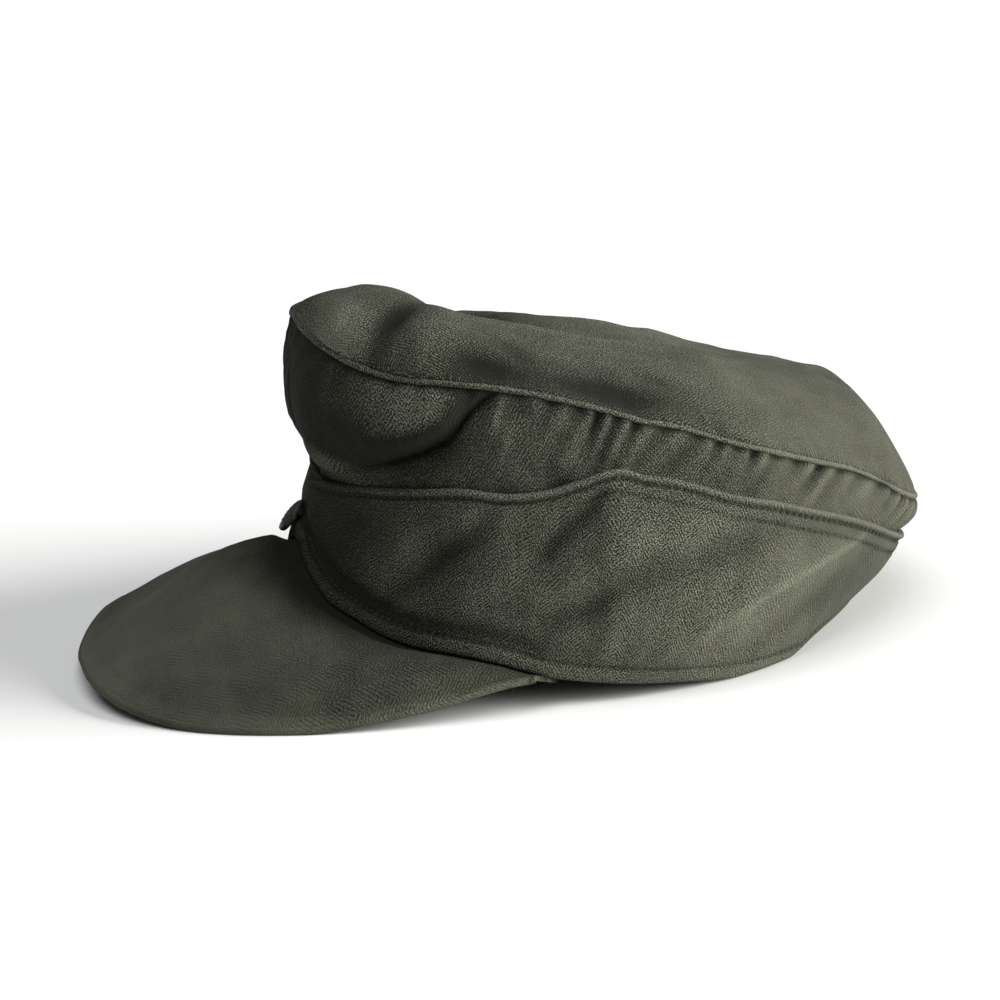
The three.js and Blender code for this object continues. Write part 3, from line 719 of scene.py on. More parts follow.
# The strip's small shapes: the crease's sharp line, its lip, the puckers, unevenness and sunk seams
def stripSkin(angle, share):
    detail = sideDetail
    around = np.abs(angle)
    strip, length = stripPlace(angle, share)
    strip = np.clip(strip, 0, 1)
    fromSeam = (1 - strip) * length
    run = girthAt(angle)
    deep = along(frontFold, "sharp", around) * foldDepth(angle)
    deep = deep * ease(fromSeam, 0, detail["seamHold"]) * ease(strip * length, 0, detail["edgeHold"])
    fromFold = (strip - along(frontFold, "share", around)) * length
    lip = deep * band(fromFold, *detail["lip"])
    crease = detail["lipOut"] * lip - deep * band(fromFold, *detail["sharpCrease"])
    uneven = detail["unevenness"] * addedNoise(run, fromSeam, detail["unevenNoises"])
    puffs = patches(stripPuffs, angle, strip) * ease(fromSeam, 0, detail["seamHold"])
    puffs = puffs * ease(share / turnUpShare(angle), *detail["puffsOverEdge"])
    fromFront = np.abs(run - girthAt(0))
    fromPanelSeam = np.minimum(fromFront, np.abs(girthAt(halfTurn) - girthAt(0) - fromFront))
    sunk = band(fromSeam, *detail["tuck"]) + band(fromPanelSeam, *detail["panelSeam"])
    small = uneven * ease(fromSeam, 0, detail["unevenHold"]) - sunk
    return crease + sidePuckers(around, run, fromSeam) + puffs + small, detail["lipDroop"] * lip


# Under the turn-up the side gives way to its valleys
def sideSkin(angle, share):
    out, down = stripSkin(angle, share)
    middle = turnUpShare(angle)
    valleys = np.minimum(drawRelief(angle, np.clip(share / middle, 0, 1), sideLengths(angle)[0]), 0)
    clear = sideDetail["hiddenClearance"] * ease(middle - share, 0, sideDetail["clearsOver"])
    out = out + np.where(share < middle, valleys - clear, 0)
    point = sideForm(angle, share) + normalOf(smoothSide, angle, share) * out[..., None]
    point[..., 2] -= down
    return point


def turnedUv(across, up, degrees):
    turn = np.radians(degrees)
    turned = [across * np.cos(turn) + up * np.sin(turn), up * np.cos(turn) - across * np.sin(turn)]
    return np.stack(turned, -1) / clothUnit


def makeSide(side, name, nodeName):
    detail = sideDetail
    every = detail["innerEvery"]
    angles = np.linspace(0, halfTurn, detail["columns"])
    if side < 0:
        angles = angles[::-1] * -1
    middle = turnUpShare(angles)
    climb = 1 - (1 - np.linspace(0, 1, detail["stripRows"])) ** detail["rowSpacing"]
    low = np.linspace(0, 1, detail["hiddenRows"], endpoint=False)[:, None] * middle
    shares = np.concatenate([low, middle + climb[:, None] * (1 - middle)])
    turns = np.broadcast_to(angles, shares.shape)
    outer = sideSkin(turns, shares)
    normals = normalOf(sideForm, turns, shares)
    normals[0] = outwardLevel(angles)
    inner = (outer - normals * capShape["crownWall"])[::every]
    inner[..., 2] = np.maximum(inner[..., 2], 0)
    section = wallSection(outer, inner)
    section[..., 0] = side * np.maximum(0, side * section[..., 0])
    run = np.broadcast_to(girthAt(angles), shares.shape)
    uvs = turnedUv(run, shares * sum(sideLengths(angles)), detail["weaveTurn"] * side)
    strip, length = stripPlace(turns, shares)
    around = np.abs(turns)
    aboveFold = (strip - along(frontFold, "share", around)) * length
    # Painted shade under the fold's lip and along the crown seam, added to the strip's painted light and
    # shade patches and the relief's tone
    shade = along(frontFold, "sharp", around) * ease(aboveFold, *detail["foldShadeFrom"])
    shade = detail["foldShade"] * shade * ease(aboveFold, *detail["foldShadeTo"])
    wearAndLightTone = np.clip(stripSkin(turns, shares)[0] * detail["reliefWearAndShade"], *detail["reliefWearAndShadeLimits"])
    shade = shade + band((1 - strip) * length, *detail["seamShade"])
    wearAndLightTone = wearAndLightTone + patches(stripPaintedLight, turns, strip) - shade
    wearAndPaintedLight = wallSection(wearAndLightTone, wearAndLightTone[::every] * 0)
    uvs = wallSection(uvs, uvs[::every])
    piece = gridMesh(name, section, uvs, cloth, closesRows=True, capEnds=True, wearAndPaintedLight=wearAndPaintedLight)
    return finishPiece(piece, "cloth", nodeName)


makeSide(1, "crownSideLeftCloth", "crown_side_left")
makeSide(-1, "crownSideRightCloth", "crown_side_right")
print("side panels made")

# Top panel: two ridges with a hollow between them, and a round shoulder down to the seam
topRidges = {
    "y": [-92, -87, -76, -63, -50, -35, -22, -10, 5, 30, 45, 62, 80, 95, 107, 115, 122, 127, 130],
    "left": [124.8, 128.4, 131.6, 132.4, 130.2, 124.4, 119.8, 116, 112, 105.8, 102, 95.6, 89.2, 84, 77, 66,
             53, 43, 35],
    "hollow": [124.8, 128.4, 131.2, 131.4, 127, 116.6, 110.6, 106.4, 103.4, 100, 97, 92.6, 87.4, 83.2, 77, 66,
               53, 43, 35],
    "right": [124.8, 125.6, 127.4, 126.6, 121, 110.6, 105.2, 106.8, 105.4, 99.8, 96, 89.6, 84.4, 80.6, 74.6,
              64, 51.6, 42.4, 35],
}
topShape = {
    "leftRidgeAt": 0.42, "rightRidgeAt": 0.5, "shoulderPower": 3, "shoulderRound": 0.6, "columns": 640,
    "rings": 96, "ringSpacing": 1.35, "innerEvery": 6, "gridHalf": 70, "gridFront": 94, "gridRear": 132,
    "gridSteepest": 4, "unevenness": 0.35, "unevenNoises": [(1, 24, 22), (0.3, 9, 23)], "unevenHold": 4,
    "pucker": {"depth": 0.22, "pitch": 8.2, "slant": 0, "wander": 1, "noise": (55, 21)}, "puckerReach": 7,
    # The relief's tone: raised cloth paler where worn, hollows darker as painted shade
    "puckerHold": 2.5, "dentHold": 3, "tuck": (0.9, 0, 1.3), "topReliefWearAndShade": 0.05, "topReliefToneLimit": 0.2,
}
# Dents and swells of the top: the middle, the half length and half width, and the turn from the X axis; their
# tone paints shade into the dents and light onto the swells
topDents = readRows("x y long wide turn rise tone", [
    (31, -62, 17, 5.5, -48, -3.4, -0.8),
    (24, -82, 15, 6, -40, 1.0, 0.1),
    (44, -53, 15, 6, -45, 1.2, 0.1),
    (57, -37, 14, 5, 72, -2.6, -0.6),
    (50, -25, 9, 4, 40, -1.1, -0.3),
    (63, 4, 20, 5, 86, -2.4, -0.65),
    (55, 22, 12, 4, 60, -0.9, -0.2),
    (27, -6, 42, 6, 88, 1.2, 0.15),
    (12, -8, 34, 8, 88, -3.0, 0),
    (-30, -55, 20, 6, 110, -1.6, -0.15),
    (-52, 5, 20, 7, 95, -1.4, -0.15),
])
# Painted light and shade on the top, by X and Y: a painted highlight on the front hump, painted shade on
# parts of the near side, at the rear and at the far front, and painted light on the far side further back
topPaintedLight = readRows("across up wide tall rise", [
    (26, -82, 15, 11, 1.1),
    (60, 6, 10, 34, -0.2),
    (0, 92, 90, 40, -0.3),
    (-34, -12, 34, 20, -0.45),
    (48, -32, 12, 16, -0.2),
    (-30, 42, 36, 24, 0.35),
])


def dentField(x, y, key):
    total = np.zeros_like(x)
    for dent in topDents:
        turn = np.radians(dent["turn"])
        dx, dy = x - dent["x"], y - dent["y"]
        lengthwise = dx * np.cos(turn) + dy * np.sin(turn)
        crosswise = dy * np.cos(turn) - dx * np.sin(turn)
        total += dent[key] * bump(lengthwise, dent["long"]) * bump(crosswise, dent["wide"])
    return total


# Half width of the top panel at a place along it, and the height of its seam on that side
def panelAcross(x, y):
    plan = crownPlan
    front = y < plan["centreY"]
    reach = np.where(front, plan["front"], plan["rear"])
    power = np.where(front, plan["frontPower"], plan["rearPower"])
    away = np.clip(np.abs(y - plan["centreY"]) / reach, 0, 1)
    quarter = np.degrees(np.arccos(away ** (power / 2)))
    angle = np.where(front, quarter, halfTurn - quarter)
    halfWidth = plan["halfWidth"] * (1 - away ** power) ** (1 / power)
    return halfWidth, seamHeight(np.where(x < 0, -angle, angle))


def topHeight(x, y):
    halfWidth, seam = panelAcross(x, y)
    share = np.clip(x / np.maximum(halfWidth, tiny), -1, 1)
    left = share > 0
    ridgeAt = np.where(left, topShape["leftRidgeAt"], topShape["rightRidgeAt"])
    ridge = np.where(left, along(topRidges, "left", y), along(topRidges, "right", y))
    hollow = along(topRidges, "hollow", y)
    climb = np.sin(np.minimum(1, np.abs(share) / ridgeAt) * np.pi / 2) ** 2
    height = hollow + (ridge - hollow) * climb
    shoulder = (1 - np.abs(share) ** topShape["shoulderPower"]) ** topShape["shoulderRound"]
    return seam + (height - seam) * shoulder


def topNormal(x, y):
    slopeX = (topHeight(x + 1, y) - topHeight(x - 1, y)) / 2
    slopeY = (topHeight(x, y + 1) - topHeight(x, y - 1)) / 2
    return unit(np.stack([-slopeX, -slopeY, np.ones_like(slopeX)], -1))


# Lengths along the cloth from the panel's middle lines, looked up in a grid of its heights
def topClothPlaces(x, y):
    half, front = topShape["gridHalf"], topShape["gridFront"]
    gridX, gridY = np.arange(-half, half + 1.0), np.arange(-front, topShape["gridRear"] + 1.0)
    field = topHeight(gridX[:, None], gridY[None, :])
    i = np.clip(np.floor(x + half).astype(int), 0, len(gridX) - 2)
    j = np.clip(np.floor(y + front).astype(int), 0, len(gridY) - 2)
    a, b = x + half - i, y + front - j
    places = []
    for axis, middle in ((0, half), (1, front)):
        steps = np.sqrt(1 + np.minimum(np.diff(field, axis=axis) ** 2, topShape["gridSteepest"]))
        run = np.insert(np.cumsum(steps, axis), 0, 0, axis=axis)
        run = run - np.take(run, [middle], axis=axis)
        low = run[i, j] * (1 - a) + run[i + 1, j] * a
        high = run[i, j + 1] * (1 - a) + run[i + 1, j + 1] * a
        places.append(low * (1 - b) + high * b)
    return np.stack(places, -1)


def topSkin(x, y, fromSeam, run):
    shape = topShape
    pucker = wavesAlong(run, 0, shape["pucker"]) * np.exp(-fromSeam / shape["puckerReach"])
    out = dentField(x, y, "rise") + pucker * ease(fromSeam, 0, shape["puckerHold"])
    uneven = shape["unevenness"] * addedNoise(x, y, shape["unevenNoises"])
    uneven = uneven * ease(fromSeam, 0, shape["unevenHold"]) - band(fromSeam, *shape["tuck"])
    return out * ease(fromSeam, 0, shape["dentHold"]) + uneven


# Direction out of the side panels where they end at the crown seam
def sideNormalAtSeam(angles):
    return normalOf(sideForm, angles, np.full_like(angles, 0.999))


def makeTop():
    shape = topShape
    every = shape["innerEvery"]
    angles = np.linspace(-halfTurn, halfTurn, shape["columns"], endpoint=False)
    inward = np.linspace(0, 1, shape["rings"])[:, None] ** shape["ringSpacing"]
    edgeX, edgeY = onPlan(crownPlan, angles)
    x = edgeX * (1 - inward)
    y = edgeY + (crownPlan["centreY"] - edgeY) * inward
    base = np.stack([x, y, topHeight(x, y)], -1)
    normals = topNormal(x, y)
    normals[0] = unit(sideNormalAtSeam(angles) + normals[1])
    skin = topSkin(x, y, runLength(base), np.broadcast_to(girthAt(angles), x.shape))
    outer = base + normals * skin[..., None]
    inner = (outer - normals * capShape["crownWall"])[::every]
    uvs = topClothPlaces(x, y) / clothUnit
    # Tone: the relief's wear and painted shade, the dents' painted shade and light, and the top's patches of
    # painted light and shade
    wearAndLightTone = np.clip(skin * shape["topReliefWearAndShade"], -shape["topReliefToneLimit"], shape["topReliefToneLimit"])
    wearAndLightTone = wearAndLightTone + dentField(x, y, "tone") + patches(topPaintedLight, x, y)
    wearAndPaintedLight = wallSection(wearAndLightTone, wearAndLightTone[::every] * 0)
    piece = gridMesh("crownTopCloth", wallSection(outer, inner), wallSection(uvs, uvs[::every]), cloth,
                     closesRows=True, closesColumns=True, wearAndPaintedLight=wearAndPaintedLight)
    return finishPiece(piece, "cloth", "crown_top")


makeTop()
print("top panel made")

# Raised fold of the seam between the top panel and the sides
seamFold = {
    "radius": 1.05, "sunk": 0.4, "frontSunk": (0.7, -8, 16), "thinner": (0.4, -14, 14), "sides": 14,
    "columns": 900, "unevenness": 0.06, "noise": (9, 31), "topInset": 0.04, "weaveTurn": 35, "wearAndPaintedLight": 0.35,
}


def makeSeamFold():
    shape = seamFold
    angles = np.linspace(-halfTurn, halfTurn, shape["columns"], endpoint=False)
    x, y = onPlan(crownPlan, angles)
    seam = np.stack([x, y, seamHeight(angles)], -1)
    inset = shape["topInset"]
    top = topNormal(x * (1 - inset), y + (crownPlan["centreY"] - y) * inset)
    out = unit(sideNormalAtSeam(angles) + top)
    aside = unit(top - out * (top * out).sum(-1, keepdims=True))
    run = girthAt(angles)
    turn = np.linspace(0, 2 * np.pi, shape["sides"], endpoint=False)[:, None, None]
    uneven = shape["unevenness"] * softNoise(run, 0, *shape["noise"])
    radius = (shape["radius"] * (1 + uneven - band(angles, *shape["thinner"])))[None, :, None]
    sunk = shape["sunk"] + band(angles, *shape["frontSunk"])
    points = seam - out * sunk[:, None] + radius * (np.cos(turn) * out + np.sin(turn) * aside)
    roundUv = np.linspace(0, 2 * np.pi * shape["radius"], shape["sides"] + 1)[:, None]
    runUv = np.append(run, run[-1] + run[1] - run[0])
    uvs = turnedUv(*np.broadcast_arrays(runUv[None, :], roundUv), shape["weaveTurn"])
    wearAndPaintedLight = np.full(points.shape[:2], shape["wearAndPaintedLight"])
    piece = gridMesh("crownSeamFold", points, uvs, cloth, closesRows=True, closesColumns=True, wearAndPaintedLight=wearAndPaintedLight)
    return finishPiece(piece, "cloth")


makeSeamFold()
print("crown seam made")

# Turned-up band: a rolled fold below, a hemmed edge above, and long soft draws across it
turnUpShape = {
    "columns": 760, "wall": 2.0, "leftEnd": 5, "rightEnd": 15, "lapSinksFrom": 18, "lapSinksTo": 28,
    "lowRoll": 1.3, "ridgeTo": 4.6, "lowGrooveAt": 5.6, "lowGroove": 0.8, "middleFrom": 7.2, "hemTall": 9.6,
    "hem": 1.35, "hemOut": 0.8, "rowOneAt": 3.2, "rowTwoAt": 7.8, "rowTwoFrom": 80, "rowTwoFades": (-5, 3),
    "rowTwo": 0.6, "grooveDepth": 0.6, "grooveWidth": 0.75,
    "rollRows": 9, "lowRows": 14, "middleRows": 44, "hemRows": 19, "edgeRows": 11, "backRows": 6,
    "lapFlare": (2.0, 5, 11), "lapFrom": (0.15, 0.6), "endFlare": 2.4, "endFoot": 1.3, "endAt": (348, 16),
    "endHigh": (0.95, 0.55), "endLow": (0.5, 0.1), "levelTo": 0.12, "unevenness": 0.24,
    "unevenNoises": [(1, 19, 41), (0.35, 8, 42)], "unevenFrom": (3, 10), "unevenTo": (2, 8),
    "ripple": {"depth": 0.22, "pitch": 2.8, "slant": 0, "wander": 1.5, "noise": (14, 43)}, "rippleWidth": 1.1,
    "gather": {"depth": 0.3, "pitch": 10.5, "slant": 0.6, "wander": 1.2, "noise": (50, 44)},
    "gatherReach": 8, "gatherFrom": (2, 7), "frontDip": (1.3, 9, 3), "frontTo": (82, 60), "weaveTurn": -7,
}
# Wear and painted shade of the turn-up: paler worn hem and roll ridges, the hem painted paler at the sides
# than in the shaded front, painted shade in the stitch grooves dotted at the stitch pitch, and painted shade
# low in front
turnUpWearAndShade = {
    "hem": 0.2, "hemSides": 0.35, "hemSidesFrom": (30, 60), "hemAt": (1.2, 1.3), "roll": (0.35, 3, 2),
    "ridges": 0.8, "grooves": 0.8, "grooveWidth": 0.8, "lowGroove": (0.6, 5.6, 0.9), "dots": (0.75, 0.45),
    "frontShade": (0.5, 8.5, 3), "frontTo": (82, 64), "outsideFrom": 0.5,
}
# Painted light and shade on the turn-up, by angle and share of its height: painted shade over the front and
# towards the back, and patches of painted light and painted shade along the sides and at the right end
turnUpPaintedLight = readRows("across up wide tall rise", [
    (5, 0.5, 33, 1.2, -0.72),
    (-11, 0.45, 8, 0.35, 0.7),
    (49, 0.6, 6, 0.3, -0.3),
    (41, 0.62, 5, 0.2, 0.3),
    (33, 0.38, 6, 0.2, 0.25),
    (74, 0.5, 20, 0.7, 0.16),
    (104, 0.5, 13, 0.5, 0.25),
    (138, 0.6, 32, 0.9, -0.32),
    (118, 0.2, 12, 0.2, 0.25),
])


# Turns go once round the band from its left end, past 180, to its right end, and name an angle each
def wrapped(turns):
    return np.where(turns > halfTurn, turns - 2 * halfTurn, turns)


# The two stitch rows below the upper edge, the second one only at the sides and the back
def upperRows(angle, fromTop, width, second):
    shape = turnUpShape
    starts = [shape["rowTwoFrom"] + fade for fade in shape["rowTwoFades"]]
    second = second * ease(np.abs(angle), *starts)
    return bump(fromTop - shape["rowOneAt"], width) + bump(fromTop - shape["rowTwoAt"], width) * second


# The band's section as heights up the side and distances out of it, for each column
def turnUpSection(angle, tall):
    shape = turnUpShape
    roll, hem, wall = shape["lowRoll"], shape["hem"], shape["wall"]
    middleFrom, middleTo = shape["middleFrom"], tall - shape["hemTall"]
    level = 0 * tall
    lowTurn = np.radians(np.linspace(-180, 0, shape["rollRows"]))[:, None]
    heights = np.concatenate([
        np.linspace(roll, middleFrom, shape["lowRows"])[1:, None] + level,
        middleFrom + np.linspace(0, 1, shape["middleRows"])[1:-1, None] * (middleTo - middleFrom),
        middleTo + np.linspace(0, 1, shape["hemRows"])[:, None] * (shape["hemTall"] - hem),
    ])
    fromTop = tall - heights
    out = wall + (2 * roll - wall) * ease(heights, shape["lowGrooveAt"], shape["ridgeTo"])
    out = out + shape["hemOut"] * ease(fromTop, shape["rowOneAt"], hem)
    grooves = bump(heights - shape["lowGrooveAt"], shape["grooveWidth"]) * shape["lowGroove"]
    grooves = grooves + upperRows(angle, fromTop, shape["grooveWidth"], shape["rowTwo"])
    out = out - grooves * shape["grooveDepth"]
    half = (wall + shape["hemOut"]) / 2
    topTurn = np.radians(np.linspace(0, 180, shape["edgeRows"]))[1:, None]
    back = np.linspace(1, 0, shape["backRows"])[1:-1, None]
    return (
        np.concatenate([roll + roll * np.sin(lowTurn) + level, heights, tall - hem + hem * np.sin(topTurn),
                        back * (tall - hem - roll) + roll]),
        np.concatenate([roll + roll * np.cos(lowTurn) + level, out, half + half * np.cos(topTurn) + level,
                        0 * back + level]),
    )


# How far the band lies off the crown: the left end laps over, its free end stands off above, and the end
# below it stands off lower down
def turnUpLift(turns, share):
    shape = turnUpShape
    lapped = np.where(turns < halfTurn, ease(turns, shape["lapSinksTo"], shape["lapSinksFrom"]), 0)
    lift = capShape["seat"] + lapped * (shape["wall"] + capShape["seat"])
    lap = band(turns, *shape["lapFlare"]) * ease(share, *shape["lapFrom"])
    end = shape["endFlare"] * ease(share, *shape["endHigh"])
    end = end + shape["endFoot"] * ease(share, *shape["endLow"])
    return lift + lap + band(turns, end, *shape["endAt"])


def turnUpSurface(turns, heights, sectionOut):
    shape = turnUpShape
    angles = wrapped(turns)
    tall = sideLengths(angles)[0]
    share = np.clip(heights / tall, 0, 1)
    relief = drawRelief(angles, share, tall)
    run = girthAt(angles)
    fromTop = tall - heights
    ripple = wavesAlong(run, 0, shape["ripple"]) * upperRows(angles, fromTop, shape["rippleWidth"], 1)
    gather = wavesAlong(run, fromTop, shape["gather"]) * ease(fromTop, *shape["gatherFrom"])
    gather = gather * np.exp(-np.maximum(fromTop, 0) / shape["gatherReach"])
    dip = band(heights, *shape["frontDip"]) * ease(np.abs(angles), *shape["frontTo"])
    uneven = shape["unevenness"] * addedNoise(run, heights, shape["unevenNoises"])
    uneven = uneven * ease(heights, *shape["unevenFrom"]) * ease(fromTop, *shape["unevenTo"])
    skin = relief - dip + ripple + gather + uneven
    outside = np.clip(sectionOut / shape["wall"], 0, 1)
    out = turnUpLift(turns, share) + sectionOut + relief * (1 - outside) + skin * outside
    normals = normalOf(sideForm, angles, share * turnUpShare(angles))
    blend = ease(share, 0, shape["levelTo"])[..., None]
    normals = unit(outwardLevel(angles) * (1 - blend) + normals * blend)
    point = sideForm(angles, share * turnUpShare(angles)) + normals * out[..., None]
    point[..., 2] = np.maximum(point[..., 2], 0)
    return point, normals


def makeTurnUp():
    shape, wearAndLightTone = turnUpShape, turnUpWearAndShade
    turns = np.linspace(shape["leftEnd"], 2 * halfTurn + shape["rightEnd"], shape["columns"])
    angles = wrapped(turns)
    around = np.abs(angles)
    tall = sideLengths(angles)[0]
    heights, out = turnUpSection(angles, tall[None, :])
    points, _ = turnUpSurface(np.broadcast_to(turns, heights.shape), heights, out)
    run = runLength(turnUpSurface(turns, tall * 0.5, tall * 0)[0])
    uvs = turnedUv(np.broadcast_to(run, heights.shape), runLength(points), shape["weaveTurn"])
    fromTop = tall - heights
    # Paler worn ridges, the hem painted paler at the sides than in front; painted shade in the stitch grooves
    # and low in front, with the draws' and patches' painted light and shade
    hem = wearAndLightTone["hem"] + wearAndLightTone["hemSides"] * ease(around, *wearAndLightTone["hemSidesFrom"])
    ridges = band(fromTop, hem, *wearAndLightTone["hemAt"]) + band(heights, *wearAndLightTone["roll"])
    grooves = upperRows(angles, fromTop, wearAndLightTone["grooveWidth"], shape["rowTwo"])
    grooves = grooves + band(heights, *wearAndLightTone["lowGroove"])
    dots = wearAndLightTone["dots"][0] + wearAndLightTone["dots"][1] * np.sin(2 * np.pi * girthAt(angles) / shape["ripple"]["pitch"])
    share = np.clip(heights / tall, 0, 1)
    broad = drawRelief(angles, share, tall, "tone") + patches(turnUpPaintedLight, angles, share)
    broad = broad - band(heights, *wearAndLightTone["frontShade"]) * ease(around, *wearAndLightTone["frontTo"])
    wearAndPaintedLight = wearAndLightTone["ridges"] * ridges - wearAndLightTone["grooves"] * grooves * dots + broad
    wearAndPaintedLight = np.where(out > wearAndLightTone["outsideFrom"], wearAndPaintedLight, 0)
    piece = gridMesh("turnUpCloth", points, uvs, cloth, closesRows=True, capEnds=True, wearAndPaintedLight=wearAndPaintedLight)
    return finishPiece(piece, "turn_up_cloth", "turn_up")


makeTurnUp()
print("turn-up made")

# Stiff peak with its cloth rolled over the edge
peakShape = {
    "columns": 420, "topRows": 110, "rowSpacing": 0.9, "edgeRows": 9, "underRows": 24, "edgeDepth": 2.6,
    "arch": 10.8, "archForward": 0.77, "archStart": 0.12, "archSides": 0.7, "wall": 3.2, "endWall": 1.4,
    "seamEnd": 75, "thinsFrom": 50, "ledge": 0.6, "lapRise": 3, "tuckFrom": 68, "endTuck": 1.6,
    "unevenness": 0.16, "unevenNoises": [(1, 26, 51), (0.35, 9, 52)], "unevenFrom": (0.02, 0.12),
    "unevenTo": 0.02, "edgeRidge": 0.35, "edgeRidgeAt": 4.5, "edgeRidgeFades": 1, "underBlend": 0.9,
    "rightPower": 2.7, "aside": 3.2, "clothStretch": 1.03,
    # edgeWear is the rubbed edge; the far half is painted paler as painted light; ledgeShade, frontShade and
    # allShade are painted shade
    "edgeWear": 0.2, "edgeWearWide": 4, "ledgeShade": 0.3, "ledgeShadeReach": 12, "farPaintedLight": 0.4,
    "farTo": (5, 60), "frontShade": (1.1, 4, 28), "frontShadeReach": 18, "allShade": 0.12,
}
peakEdge = {
    "angle": [0, 8, 16, 24, 33, 41, 55, 62, 69, 78, 90],
    "left": [6.3, 5.2, 4, 2.5, 0.8, -0.1, -0.5, 0.4, 2.4, 5.5, 10.6],
    "right": [6.3, 4.1, 4.1, 6.1, 8, 4.7, 0.4, 0.4, 2.4, 5.5, 10.6],
}


# Lower line of the peak's edge, higher in front on the wearer's right
def peakOutline(angle):
    right = angle < 0
    plan = {**peakPlan, "frontPower": np.where(right, peakShape["rightPower"], peakPlan["frontPower"])}
    x, y = onPlan(plan, angle)
    x = x + peakShape["aside"] * np.cos(np.radians(angle)) ** 2
    around = np.abs(angle)
    height = np.where(right, along(peakEdge, "right", around), along(peakEdge, "left", around))
    return np.stack([x, y, np.maximum(0, height)], -1)


def makePeak():
    shape, lap = peakShape, turnUpShape
    seat, wall = capShape["seat"], turnUpShape["wall"]
    rimAngles = np.linspace(-shape["seamEnd"], shape["seamEnd"], shape["columns"])
    out = outwardLevel(rimAngles)
    rim = lineRound("rim", rimAngles) - np.array([0, 0, seat])
    lapped = ease(rimAngles, lap["leftEnd"] - shape["lapRise"], lap["leftEnd"])
    lapped = lapped * ease(rimAngles, lap["lapSinksTo"], lap["lapSinksFrom"])
    tucked = ease(np.abs(rimAngles), shape["tuckFrom"], shape["seamEnd"]) * shape["endTuck"]
    reach = seat + wall + (wall + seat) * lapped + shape["ledge"] - tucked
    ledge = rim + out * reach[:, None]
    edgeAngles = rimAngles * 90 / shape["seamEnd"]
    edge = peakOutline(edgeAngles)
    aim = unit((edge - ledge) * np.array([1, 1, 0]))
    radius = shape["edgeDepth"] / 2
    up = np.array([0, 0, 1.0])
    centre = edge - aim * radius + up * radius

    # The arched upper face at shares of the way from the ledge to the edge
    def blade(share):
        face = ledge + (centre + up * radius - ledge) * share[..., None]
        fade = np.cos(np.radians(edgeAngles)) ** shape["archSides"] * ease(share, 0, shape["archStart"])
        face[..., 2] += shape["arch"] * fade * np.sin(np.pi * share ** shape["archForward"])
        return face

    bare = (np.linspace(0, 1, shape["topRows"]) ** shape["rowSpacing"])[:, None]
    top = blade(bare)
    across = np.linalg.norm(centre - ledge, axis=-1)
    fromEdge, fromLedge = (1 - bare) * across, bare * across
    uneven = shape["unevenness"] * addedNoise(top[..., 0], top[..., 1], shape["unevenNoises"])
    ridgeFrom, ridgeTo = [shape["edgeRidgeAt"] + side * shape["edgeRidgeFades"] for side in (1, -1)]
    uneven = uneven + shape["edgeRidge"] * ease(fromEdge, ridgeFrom, ridgeTo)
    top[..., 2] += uneven * ease(bare, *shape["unevenFrom"]) * ease(1 - bare, 0, shape["unevenTo"])
    thin = ease(np.abs(rimAngles), shape["thinsFrom"], shape["seamEnd"])
    below = shape["wall"] + (shape["endWall"] - shape["wall"]) * thin
    underBare = np.linspace(1, 0, shape["underRows"])[1:, None]
    under = blade(underBare)
    edgeBlend = ease(underBare, shape["underBlend"], 1)
    under[..., 2] -= below * (1 - edgeBlend) + shape["edgeDepth"] * edgeBlend
    turn = np.radians(np.linspace(90, -90, shape["edgeRows"] + 2))[1:-1, None, None]
    lip = centre + radius * (np.cos(turn) * aim + np.sin(turn) * up)
    backTop = (rim - out * capShape["crownWall"])[None]
    backUnder = backTop - up * below[None, :, None]
    points = np.concatenate([backTop, top, lip, under, backUnder])
    points[..., 2] = np.maximum(points[..., 2], 0)
    topPart = slice(1, 1 + len(top))
    lipPart = slice(topPart.stop, topPart.stop + len(lip))
    flat = points[..., :2].copy()
    flat[lipPart] = (centre + aim * radius * (np.pi / 2 - turn))[..., :2]
    uvs = flat * np.array([1, shape["clothStretch"]]) / clothUnit
    # Tone: a rubbed edge, the far half painted paler as painted light, painted shade along the ledge, the
    # crown's painted shadow in front, and the whole peak a little darker as painted shade
    farSide = 1 - ease(rimAngles, *shape["farTo"])[None, :]
    frontShade = band(rimAngles, *shape["frontShade"])
    wearAndLightTone = shape["edgeWear"] * bump(fromEdge, shape["edgeWearWide"]) + shape["farPaintedLight"] * farSide
    wearAndLightTone = wearAndLightTone - shape["ledgeShade"] * np.exp(-fromLedge / shape["ledgeShadeReach"])
    wearAndLightTone = wearAndLightTone - frontShade * np.exp(-fromLedge / shape["frontShadeReach"]) - shape["allShade"]
    wearAndPaintedLight = np.zeros(points.shape[:2])
    wearAndPaintedLight[topPart] = wearAndLightTone
    wearAndPaintedLight[lipPart] = shape["edgeWear"]
    piece = gridMesh("peakCloth", points, uvs, peakCloth, closesRows=True, capEnds=True, wearAndPaintedLight=wearAndPaintedLight)
    return finishPiece(piece, "peak_cloth", "peak")


makePeak()
print("peak made")

